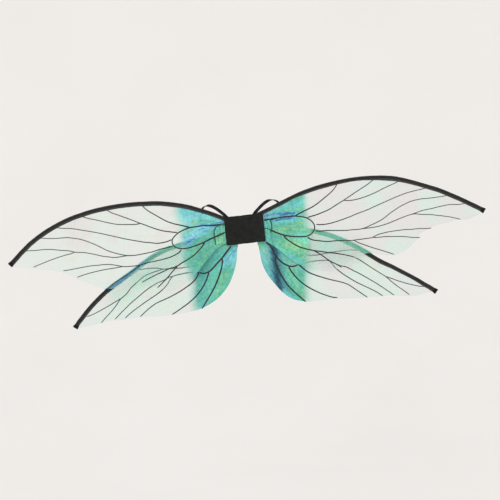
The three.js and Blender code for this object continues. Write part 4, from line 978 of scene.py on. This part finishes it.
# ------------------------------------------------------------------- veins
def vein_tube(key, pts):
    pair, side = key.split("_")
    p = catmull(pts, 1.5)
    t = np.gradient(p, axis=0)
    t /= np.linalg.norm(t, axis=1)[:, None]
    # soften both ends of the vein
    y = film_y(key, p[:, 0], p[:, 1])
    e = 0.4
    yx = (film_y(key, p[:, 0] + e, p[:, 1]) - film_y(key, p[:, 0] - e, p[:, 1])) / (2 * e)
    yz = (film_y(key, p[:, 0], p[:, 1] + e) - film_y(key, p[:, 0], p[:, 1] - e)) / (2 * e)
    frames, scales = [], []
    prof = [(math.cos(a), math.sin(a)) for a in np.linspace(0, 2 * math.pi, 8, endpoint=False)]
    d = np.abs(p[:, 0])
    width = 0.80 + 0.98 * np.exp(-np.maximum(0, d - 36) / 80.0)
    if pair == "fore":
        y = y - tuck_offset(side, d, p[:, 1])
    L = arclen(p)
    taper = np.minimum(1, 0.45 + 0.55 * np.minimum(L, L[-1] - L) / 3.0)
    for i in range(len(p)):
        pos = np.array([p[i, 0], y[i], p[i, 1]])
        tan = np.array([t[i, 0], yx[i] * t[i, 0] + yz[i] * t[i, 1], t[i, 1]])
        nrm = np.array([-yx[i], 1.0, -yz[i]])
        nrm /= np.linalg.norm(nrm)
        wide = np.cross(tan, nrm)
        wide /= np.linalg.norm(wide)
        frames.append((pos, wide, nrm))
        scales.append((width[i] * taper[i], 0.26))
    v, f = tube(frames, prof, True, scales)
    ink = np.repeat(0.62 + 0.37 * np.exp(-np.maximum(0, d - 90) / 80.0), len(prof))
    return v, f, ink


def make_veins(key):
    pair, side = key.split("_")
    parts, inks = [], []
    for pts in VEINS[key]:
        v, f, ink = vein_tube(key, pts)
        parts.append((v, f))
        inks.append(ink)
    verts, faces = merge(parts)
    o = mesh_object(f"veins_{key}", verts, faces)
    orient(o)
    attribute(o, "ink", np.concatenate(inks))
    assign(o, "vein")
    fold_blend(o)
    return o


# ----------------------------------------------------------------- casings
def spar_frames(key, step=2.0, start=None):
    pair, side = key.split("_")
    sg = SIGN[side]
    p = catmull(SPARS[key], step)
    if start is not None:
        p = p[sg * p[:, 0] >= start]
    t = np.gradient(p, axis=0)
    frames = []
    e = 0.5
    for (x, z), (tx, tz) in zip(p, t):
        slope = (float(base_y(pair, x + e)) - float(base_y(pair, x - e))) / (2 * e)
        b = np.array([-slope, 1.0, 0.0])
        b /= np.linalg.norm(b)
        tan = np.array([tx, 0.0, tz])
        tan -= b * tan.dot(b)
        tan /= np.linalg.norm(tan)
        n = np.cross(b, tan)
        n /= np.linalg.norm(n)
        if n[2] > 0:
            n = -n
        frames.append((np.array([x, float(base_y(pair, x)), z]), n, b, tan))
    return frames


def casing_profile():
    out = []
    hem = [(4.10, 0.20), (4.0, 0.46), (3.4, 0.52), (2.6, 0.55), (1.9, 0.58), (1.25, 0.50), (0.75, 0.56), (0.35, 0.86)]
    out += hem
    for deg in (34, 52, 70, 88, 106, 124, 142, 160, 180, 200, 218, 236, 254, 272, 290, 308, 326):
        a = math.radians(deg)
        out.append((ROD_OFFSET + 2.36 * math.cos(a), 2.36 * math.sin(a)))
    out += [(u, -v) for u, v in hem[::-1]]
    return out


WIDEN = {  # how much wider or narrower the hem is, by distance from the middle
    "fore_left": ([30, 60, 80, 120, 200, 300], [-0.2, -0.1, 0.3, 0.5, 0.35, 0.3]),
    "fore_right": ([30, 50, 70, 92, 110, 135, 160, 178, 200, 225, 243, 262, 282, 305],
                   [-0.3, -0.7, -0.3, -1.4, -0.4, 0.2, 0.1, -0.3, -0.9, -0.6, 0.3, 1.1, 0.9, 0.0]),
    "hind_left": ([30, 200, 270, 300], [0, 0, 0.0, 0.1]),
    "hind_right": ([30, 220, 240, 262, 285, 310, 325], [0, -0.1, 0, -0.5, -0.9, -0.3, 0.3]),
}


def make_casing(key):
    pair, side = key.split("_")
    sg = SIGN[side]
    frames = spar_frames(key, 1.6, 23.4)
    prof = np.array(casing_profile())
    L = np.r_[0, np.cumsum([np.linalg.norm(frames[i + 1][0] - frames[i][0]) for i in range(len(frames) - 1)])]
    seed = {"fore_left": 2, "fore_right": 5, "hind_left": 8, "hind_right": 13}[key]
    verts = []
    for i, (p, n, b, t) in enumerate(frames):
        q = prof.copy()
        s = L[i]
        pucker = 0.06 * math.sin(s / 2.3 + seed) + 0.07 * math.sin(s / 5.1 + 2 * seed)
        tunnel = q[:, 0] < 0.3
        q[tunnel] = (q[tunnel] - (ROD_OFFSET, 0)) * (1 + 0.018 * math.sin(s / 3.1 + seed) + 0.012 * math.sin(s / 1.7)) + (ROD_OFFSET, 0)
        hem = q[:, 0] > 1.0
        extra = float(np.interp(abs(p[0]), *WIDEN[key]))
        q[hem, 0] += np.clip((q[hem, 0] - 1.0) / 2.0, 0, 1) * (extra + 0.10 * math.sin(s / 6.3 + seed) + 0.05 * math.sin(s / 2.0))
        q[hem, 1] += pucker * np.clip((q[hem, 0] - 1.2) / 2.5, 0, 1) * 1.6
        verts.extend((p + np.outer(q[:, 0], n) + np.outer(q[:, 1], b)).tolist())
    m_ = len(prof)
    faces = grid_faces(len(frames), m_, 0, True)
    faces.append(tuple(range(m_ - 1, -1, -1)))
    faces.append(tuple(range((len(frames) - 1) * m_, len(frames) * m_)))
    o = mesh_object(f"casing_{key}", verts, faces)
    orient(o)
    around = np.r_[0, np.cumsum(np.linalg.norm(np.diff(prof, axis=0), axis=1))]
    planar_uv(o, np.tile(around, len(frames)), np.repeat(L, m_))
    assign(o, "tunnel", "hem")
    hem_cols = {j for j in range(m_) if prof[j, 0] > 0.5 and prof[(j + 1) % m_, 0] > 0.5}
    mi = np.zeros(len(o.data.polygons), np.int32)
    for k in range((len(frames) - 1) * m_):
        if k % m_ in hem_cols:
            mi[k] = 1
    o.data.polygons.foreach_set("material_index", mi)
    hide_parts(f"{pair}_casing_{side}")
    fold_blend(o)
    # one row of stitches on each face of the hem
    parts = []
    pitch = 3.0
    s = 16.0
    while s < L[-1] - 2.5:
        for face in (1, -1):
            ends = []
            for q in (s - 1.05, s - 0.6, s, s + 0.6, s + 1.05):
                i = int(np.clip(np.searchsorted(L, q) - 1, 0, len(L) - 2))
                f_ = (q - L[i]) / max(1e-6, L[i + 1] - L[i])
                p = frames[i][0] * (1 - f_) + frames[i + 1][0] * f_
                n, b = frames[i][1], frames[i][2]
                arch = 0.50 + 0.16 * (1 - ((q - s) / 1.05) ** 2)
                ends.append((p + n * 1.25 + b * face * arch, n, b))
            prof6 = [(0.24 * math.cos(a), 0.17 * math.sin(a)) for a in np.linspace(0, 2 * math.pi, 6, endpoint=False)]
            parts.append(tube(ends, prof6, True, [0.5, 1.0, 1.0, 1.0, 0.5]))
        s += pitch
    v, f = merge(parts)
    st = mesh_object(f"casing_stitches_{key}", v, f)
    orient(st)
    assign(st, "thread")
    fold_blend(st)
    return o


def make_cap(key):
    """Cloth end of the casing: folded over, pressed flat and cut square."""
    pair, side = key.split("_")
    frames = spar_frames(key, 1.6)
    p, n, b, t = frames[-1]
    if t[0] * SIGN[side] < 0:
        t = -t
    steps = 40
    ring = []
    stations = [(-2.2, 3.9, 2.1), (-1.6, 4.35, 2.42), (0.0, 4.45, 2.5), (1.2, 4.75, 2.62), (2.6, 4.95, 2.62), (3.6, 4.9, 2.4),
                (4.1, 4.7, 2.0), (4.3, 4.3, 1.5)]
    verts = []
    for s, hw, hh in stations:
        for i in range(steps):
            a = 2 * math.pi * i / steps
            u, v = math.cos(a), math.sin(a)
            r = (abs(u) ** 4.5 + abs(v) ** 4.5) ** (-1 / 4.5)
            pinch = 1.0 - 0.22 * smooth(-1.0, 3.0, hw * u * r)        # thinner on the hem side
            wob = 0.06 * math.sin(5 * a + s)
            verts.append((p + t * (s + 0.12 * math.sin(2 * a)) + n * ((hw + wob) * u * r) + b * ((hh * pinch + wob) * v * r)).tolist())
    faces = grid_faces(len(stations), steps, 0, True)
    faces.append(tuple(range(steps - 1, -1, -1)))
    faces.append(tuple(range((len(stations) - 1) * steps, len(stations) * steps)))
    o = mesh_object(f"tip_cap_{key}", verts, faces)
    orient(o)
    planar_uv(o, np.tile(np.linspace(0, 14, steps), len(stations)), np.repeat([s[0] for s in stations], steps))
    assign(o, "cap")
    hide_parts(f"{pair}_tip_cap_{side}")
    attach(o, f"{side}_wing")
    return o


# ------------------------------------------------------------------- patch
BACK_Y = -2.7


def patch_loop(x):
    """Outline of the stuffed patch at distance x: rounded, slightly crowned, with a
    pressed seam line inside its border."""
    ax = abs(x)
    r = 1.9
    end = max(0.0, ax - (HALF_W + 0.7 - r)) / r
    shrink = r * (1 - math.sqrt(max(0.0, 1 - min(1, end) ** 2)))
    y0, y1 = OUT_Y - 0.25, BACK_Y
    hz = HALF_H + 0.7 - shrink * 0.55
    f0, f1 = y0 + shrink, y1 - shrink
    pts = []
    nz = 72
    zc = hz - r
    edge_wave = 0.16 * math.sin(x / 4.3) + 0.1 * math.sin(x / 1.9 + 1)
    for i in range(nz + 1):                      # outer face, bottom to top
        z = -zc + 2 * zc * i / nz
        dome = 0.35 * (1 - (z / zc) ** 2) * (1 - (ax / HALF_W) ** 2)
        seam = 0.0
        for dist in (abs(abs(z) - 22.3), abs(ax - 32.2) if abs(z) < 22.3 else 9):
            seam += 0.38 * math.exp(-(dist / 0.55) ** 2)
        ripple = 0.10 * float(value_noise(np.array([x / 5.0 + 20]), np.array([z / 5.0 + 20]), 5)[0])
        pts.append((f0 - dome + seam + ripple, z))
    for i in range(1, 8):                        # top edge
        a = math.pi / 2 * i / 8
        pts.append((f0 + r * (1 - math.cos(a)), zc + (r + edge_wave * math.sin(a)) * math.sin(a)))
    for i in range(5):
        pts.append((f0 + r + (f1 - f0 - 2 * r) * i / 4, hz + edge_wave))
    for i in range(1, 8):
        a = math.pi / 2 * i / 8
        pts.append((f1 - r * (1 - math.sin(a)), zc + (r + edge_wave * math.cos(a)) * math.cos(a)))
    for i in range(nz + 1):                      # wearer side, top to bottom
        z = zc - 2 * zc * i / nz
        pts.append((f1 + 0.0, z))
    for i in range(1, 8):
        a = math.pi / 2 * i / 8
        pts.append((f1 - r * (1 - math.cos(a)), -zc - (r + edge_wave * math.sin(a)) * math.sin(a)))
    for i in range(5):
        pts.append((f1 - r - (f1 - f0 - 2 * r) * i / 4, -hz - edge_wave))
    for i in range(1, 8):
        a = math.pi / 2 * i / 8
        pts.append((f0 + r * (1 - math.sin(a)), -zc - (r + edge_wave * math.cos(a)) * math.cos(a)))
    return pts


def make_patch():
    split = 12.0
    out = {}
    for name, xs in (("patch_middle", np.linspace(-split, split, 25)),
                     ("patch_side_right", np.r_[np.linspace(split, 34.3, 29), [34.9, 35.3, 35.7, 35.95, 36.12, 36.2]]),
                     ("patch_side_left", -np.r_[np.linspace(split, 34.3, 29), [34.9, 35.3, 35.7, 35.95, 36.12, 36.2]])):
        loops = [patch_loop(float(x)) for x in xs]
        m_ = len(loops[0])
        verts = [(float(x), y, z) for x, lp in zip(xs, loops) for y, z in lp]
        faces = grid_faces(len(xs), m_, 0, True)
        faces.append(tuple(range(m_ - 1, -1, -1)))
        faces.append(tuple(range((len(xs) - 1) * m_, len(xs) * m_)))
        o = mesh_object(name, verts, faces)
        orient(o)
        # the flat cut faces must not bend the shading of the cloth
        o.data.polygons[len(faces) - 1].use_smooth = False
        o.data.polygons[len(faces) - 2].use_smooth = False
        assign(o, "patch")
        out[name] = o
    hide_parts("outer_cover", "inner_cover")
    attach(out["patch_middle"], "centre")
    for side in ("left", "right"):
        o = out[f"patch_side_{side}"]
        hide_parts(f"outer_side_cover_{side}", f"inner_side_cover_{side}", f"rod_holder_{side}")
        fold_blend(o)
    # border stitches on the outer face
    def stitch_run(pts):
        parts = []
        for i in range(len(pts) - 1):
            a, b = np.array(pts[i]), np.array(pts[i + 1])
            d = (b - a) / np.linalg.norm(b - a)
            w = np.cross(d, (0, 1, 0))
            fr = []
            for s in (0.12, 0.3, 0.5, 0.7, 0.88):
                q = a + (b - a) * s
                q = q + np.array([0, -0.14 * (1 - ((s - 0.5) / 0.38) ** 2), 0])
                fr.append((q, w, np.array([0, 1.0, 0])))
            prof6 = [(0.24 * math.cos(t_), 0.18 * math.sin(t_)) for t_ in np.linspace(0, 2 * math.pi, 6, endpoint=False)]
            parts.append(tube(fr, prof6, True, [0.5, 1, 1, 1, 0.5]))
        return parts
    def surf_y(x, z):
        ax = abs(x)
        zc = HALF_H + 0.7 - 1.9
        return OUT_Y - 0.25 - 0.35 * (1 - (z / zc) ** 2) * (1 - (ax / HALF_W) ** 2) + 0.20
    mid, lr = [], {"left": [], "right": []}
    for z in (-22.3, 22.3):
        xs = np.linspace(-12, 12, 10)
        mid += stitch_run([(x, surf_y(x, z), z) for x in xs])
        for side in ("left", "right"):
            xs = np.linspace(12, 32.2, 9)
            lr[side] += stitch_run([(SIGN[side] * x, surf_y(x, z), z) for x in xs])
    for side in ("left", "right"):
        zs = np.linspace(-22.3, 22.3, 18)
        lr[side] += stitch_run([(SIGN[side] * 32.2, surf_y(32.2, z), z) for z in zs])
    v, f = merge(mid)
    o = mesh_object("patch_stitches_middle", v, f)
    orient(o)
    assign(o, "thread")
    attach(o, "centre")
    for side in ("left", "right"):
        v, f = merge(lr[side])
        o = mesh_object(f"patch_stitches_{side}", v, f)
        orient(o)
        assign(o, "thread")
        fold_blend(o)


# --------------------------------------------------------------------- pad
def make_pad():
    """Soft pad on the wearer side: crowned, with a flat seam allowance round it."""
    w, z0, z1, t = 17.0, -15.5, 7.5, 3.1
    cz, hz = (z0 + z1) / 2, (z1 - z0) / 2
    rings = [(1.0, -3.0), (1.0, -2.2), (0.985, -1.75), (0.945, -1.55), (0.93, -1.15), (0.915, -0.7), (0.88, -0.3), (0.82, -0.08),
             (0.7, 0.0), (0.5, 0.0), (0.25, 0.0)]
    steps = 96
    verts = []
    for s, y in rings:
        for i in range(steps):
            a = 2 * math.pi * i / steps
            u, v = math.cos(a), math.sin(a)
            r = (abs(u) ** 5 + abs(v) ** 5) ** (-0.2)
            pull = 0.10 * math.sin(a * 24) * (1 if 0.9 < s < 0.99 else 0)
            verts.append(((w * s + pull) * u * r, y, cz + (hz - (1 - s) * w + pull) * v * r if hz - (1 - s) * w > 0.6 else cz + 0.6 * v * r))
    faces = grid_faces(len(rings), steps, 0, True)
    faces.append(tuple(range(steps - 1, -1, -1)))
    faces.append(tuple(range((len(rings) - 1) * steps, len(rings) * steps)))
    o = mesh_object("back_pad_cushion", verts, faces)
    orient(o)
    assign(o, "pad")
    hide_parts("back_pad")
    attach(o, "centre")


# ------------------------------------------------------------------ straps
LOOPS = {
    "right": [(20.4, -2.1, 26.0), (23.2, 0.6, 29.2), (27.6, 8.0, 33.4), (37.2, 22, 41.8), (45.6, 36, 47.6),
              (52.5, 46, 50.6), (59.5, 56, 50.8), (67, 66, 47.5), (73.5, 76, 37), (77, 84, 20), (76, 85, 1),
              (70, 77, -16), (59, 59, -25.5), (46, 36, -27.0), (34.5, 12.5, -24.0), (27.6, 0.4, -21.5), (23.5, -2.1, -20.5)],
    "left": [(-31.0, -2.1, 26.7), (-34.0, 0.6, 30.4), (-40.6, 10, 37.4), (-51.2, 25, 47.0), (-60.2, 38, 52.4),
             (-66.2, 48, 54.0), (-73, 59, 52.0), (-79, 71, 44), (-82.5, 81, 29), (-82.5, 85, 9), (-78, 80, -10),
             (-69, 66, -22.5), (-56.5, 43, -27.0), (-44.5, 18.5, -25.0), (-35.6, 1.2, -21.6), (-31.0, -2.1, -20.5)],
}
SEWN = {"right": {"top": (12.9, 17.6), "bottom": (10.5, -20.5)}, "left": {"top": (-18.6, 14.9), "bottom": (-14.5, -20.5)}}


def make_strap(side):
    loop = LOOPS[side]
    a, b = SEWN[side]["top"], SEWN[side]["bottom"]
    top_in = [(a[0] + (loop[0][0] - a[0]) * k, -2.1, a[1] + (loop[0][2] - a[1]) * k) for k in (0, 0.35, 0.7)]
    bot_in = [(loop[-1][0] + (b[0] - loop[-1][0]) * k, -2.1, loop[-1][2] + (b[1] - loop[-1][2]) * k) for k in (0.3, 0.65, 1.0)]
    p = catmull(top_in + loop + bot_in, 1.1)
    t = np.gradient(p, axis=0)
    t /= np.linalg.norm(t, axis=1)[:, None]
    centre = np.array([46.0, 46.0, 8.0]) if side == "right" else np.array([-54.0, 46.0, 8.0])
    frames = []
    prev = None
    for i in range(len(p)):
        radial = p[i] - centre
        radial /= np.linalg.norm(radial)
        w = float(smooth(26, 62, p[i, 1]))
        n = np.array([0, -1.0, 0]) * (1 - w) + radial * w
        n -= t[i] * n.dot(t[i])
        n /= np.linalg.norm(n)
        wide = np.cross(t[i], n)
        wide /= np.linalg.norm(wide)
        frames.append((p[i], wide, n))
    prof = []
    for u in np.linspace(-2.9, 2.9, 19):
        prof.append((u, 0.50 + 0.05 * math.cos(u * 2 * math.pi / 0.72)))
    prof = [(-3.0, 0.28)] + prof + [(3.0, 0.28)]
    prof = prof + [(u, -v) for u, v in prof[::-1]]
    L = arclen(p)
    scales = [(1 + 0.012 * math.sin(s / 3.0), 1 + 0.06 * math.sin(s / 0.9)) for s in L]
    v, f = tube(frames, prof, True, scales)
    o = mesh_object(f"strap_{side}", v, f)
    orient(o)
    around = np.r_[0, np.cumsum(np.linalg.norm(np.diff(np.array(prof), axis=0), axis=1))]
    planar_uv(o, np.tile(around, len(p)), np.repeat(L, len(prof)))
    assign(o, "elastic")
    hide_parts(f"strap_loop_{side}", f"strap_end_top_{side}", f"strap_end_bottom_{side}")
    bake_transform(o)
    # sewn boxes that hold both ends
    parts = []
    for which in ("top", "bottom"):
        s0 = np.array([SEWN[side][which][0], SEWN[side][which][1]])
        ex = loop[0] if which == "top" else loop[-1]
        d = np.array([ex[0] - s0[0], ex[2] - s0[1]])
        d /= np.linalg.norm(d)
        n2 = np.array([-d[1], d[0]])
        c = [s0 + d * 1.0 - n2 * 2.2, s0 + d * 7.0 - n2 * 2.2, s0 + d * 7.0 + n2 * 2.2, s0 + d * 1.0 + n2 * 2.2]
        segs = [(c[0], c[1]), (c[1], c[2]), (c[2], c[3]), (c[3], c[0]), (c[0], c[2]), (c[1], c[3])]
        for q0, q1 in segs:
            length = np.linalg.norm(q1 - q0)
            k = max(2, int(round(length / 1.8)))
            for i in range(k):
                a0, a1 = q0 + (q1 - q0) * (i + 0.1) / k, q0 + (q1 - q0) * (i + 0.9) / k
                dd = np.array([a1[0] - a0[0], 0, a1[1] - a0[1]])
                dd /= np.linalg.norm(dd)
                wd = np.cross(dd, (0, 1, 0))
                fr = []
                for s in (0, 0.25, 0.5, 0.75, 1):
                    q = a0 + (a1 - a0) * s
                    fr.append((np.array([q[0], -1.58 + 0.12 * (1 - (2 * s - 1) ** 2), q[1]]), wd, np.array([0, 1.0, 0])))
                prof6 = [(0.2 * math.cos(t_), 0.16 * math.sin(t_)) for t_ in np.linspace(0, 2 * math.pi, 6, endpoint=False)]
                parts.append(tube(fr, prof6, True, [0.5, 1, 1, 1, 0.5]))
    v, f = merge(parts)
    st = mesh_object(f"strap_stitches_{side}", v, f)
    orient(st)
    assign(st, "thread")
    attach(st, "centre")

# ---------------------------------------------------------------- assemble
for key in ("fore_left", "fore_right", "hind_left", "hind_right"):
    make_casing(key)
    make_cap(key)
make_patch()
make_pad()
for side in ("left", "right"):
    make_strap(side)
for key in ("hind_left", "hind_right", "fore_left", "fore_right"):
    make_film(key)
    make_veins(key)
for side in ("left", "right"):
    make_tuck(side)

# CAD pieces that stay as they are
for name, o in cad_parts.items():
    if "_rod_" in name:
        assign(o, "rod")
    elif name == "stiffener_plate":
        assign(o, "board")
    elif name == "core_foam":
        assign(o, "foam")

# ------------------------------------------------------------ stage, lights
def backdrop():
    """Seamless pale paper: a floor well below the wings, swept up into a wall all round."""
    prof = [(0.0, -0.78), (0.9, -0.78), (1.7, -0.78)]
    for i in range(1, 17):
        a = math.pi / 2 * i / 16
        prof.append((1.7 + 1.4 * math.sin(a), -0.78 + 1.4 * (1 - math.cos(a))))
    prof += [(3.1, 2.0), (3.1, 3.4)]
    n = 96
    verts, faces = [(0.0, 0.0, -0.78)], []
    for r, z in prof[1:]:
        verts += [(r * math.cos(2 * math.pi * k / n), r * math.sin(2 * math.pi * k / n), z) for k in range(n)]
    faces += [(0, 1 + k, 1 + (k + 1) % n) for k in range(n)]
    for i in range(len(prof) - 2):
        a, b = 1 + i * n, 1 + (i + 1) * n
        faces += [(a + k, b + k, b + (k + 1) % n, a + (k + 1) % n) for k in range(n)]
    o = mesh_object("backdrop", verts, faces, True, 1.0)
    mat, nt, bsdf = new_mat("backdrop_paper")
    obj, _ = coords(nt)
    n1 = noise(nt, obj, 1.6, 2)
    n2 = noise(nt, obj, 220, 3)
    tone = maths(nt, "ADD", maths(nt, "MULTIPLY", n1.outputs["Fac"], 0.9), maths(nt, "MULTIPLY", n2.outputs["Fac"], 0.1))
    col = ramp(nt, tone, [(0.3, (0.50, 0.489, 0.476)), (0.7, (0.53, 0.519, 0.507))])
    nt.links.new(col.outputs["Color"], bsdf.inputs["Base Color"])
    bsdf.inputs["Roughness"].default_value = 0.95
    bsdf.inputs["Specular IOR Level"].default_value = 0.1
    bsdf.inputs["Emission Color"].default_value = (1.0, 0.983, 0.966, 1)
    bsdf.inputs["Emission Strength"].default_value = BACK_GLOW
    bump(nt, bsdf, n2.outputs["Fac"], 0.05, 0.0005)
    o.data.materials.append(mat)


BACK_GLOW = 0.385
backdrop()

world = bpy.data.worlds.new("studio")
scene.world = world
world.use_nodes = True
bg = world.node_tree.nodes["Background"]
bg.inputs["Color"].default_value = (1.0, 0.993, 0.985, 1)
bg.inputs["Strength"].default_value = 0.74


def area(name, loc, target, size, power, color=(1, 1, 1)):
    ld = bpy.data.lights.new(name, "AREA")
    ld.shape = "RECTANGLE"
    ld.size, ld.size_y = size
    ld.energy = power
    ld.color = color
    o = bpy.data.objects.new(name, ld)
    scene.collection.objects.link(o)
    o.location = loc
    d = Vector(target) - Vector(loc)
    o.rotation_euler = d.to_track_quat("-Z", "Y").to_euler()
    return o


area("key", (-1.5, -1.9, 2.0), (0, 0, 0), (1.5, 1.5), 26.5, (1.0, 0.992, 0.98))
area("fill", (1.7, -1.8, 1.8), (0, 0, -0.05), (1.5, 1.5), 9.0, (0.98, 0.99, 1.0))

scene.view_settings.view_transform = "Standard"
scene.view_settings.look = "None"
scene.view_settings.exposure = 0.0
scene.view_settings.gamma = 1.0
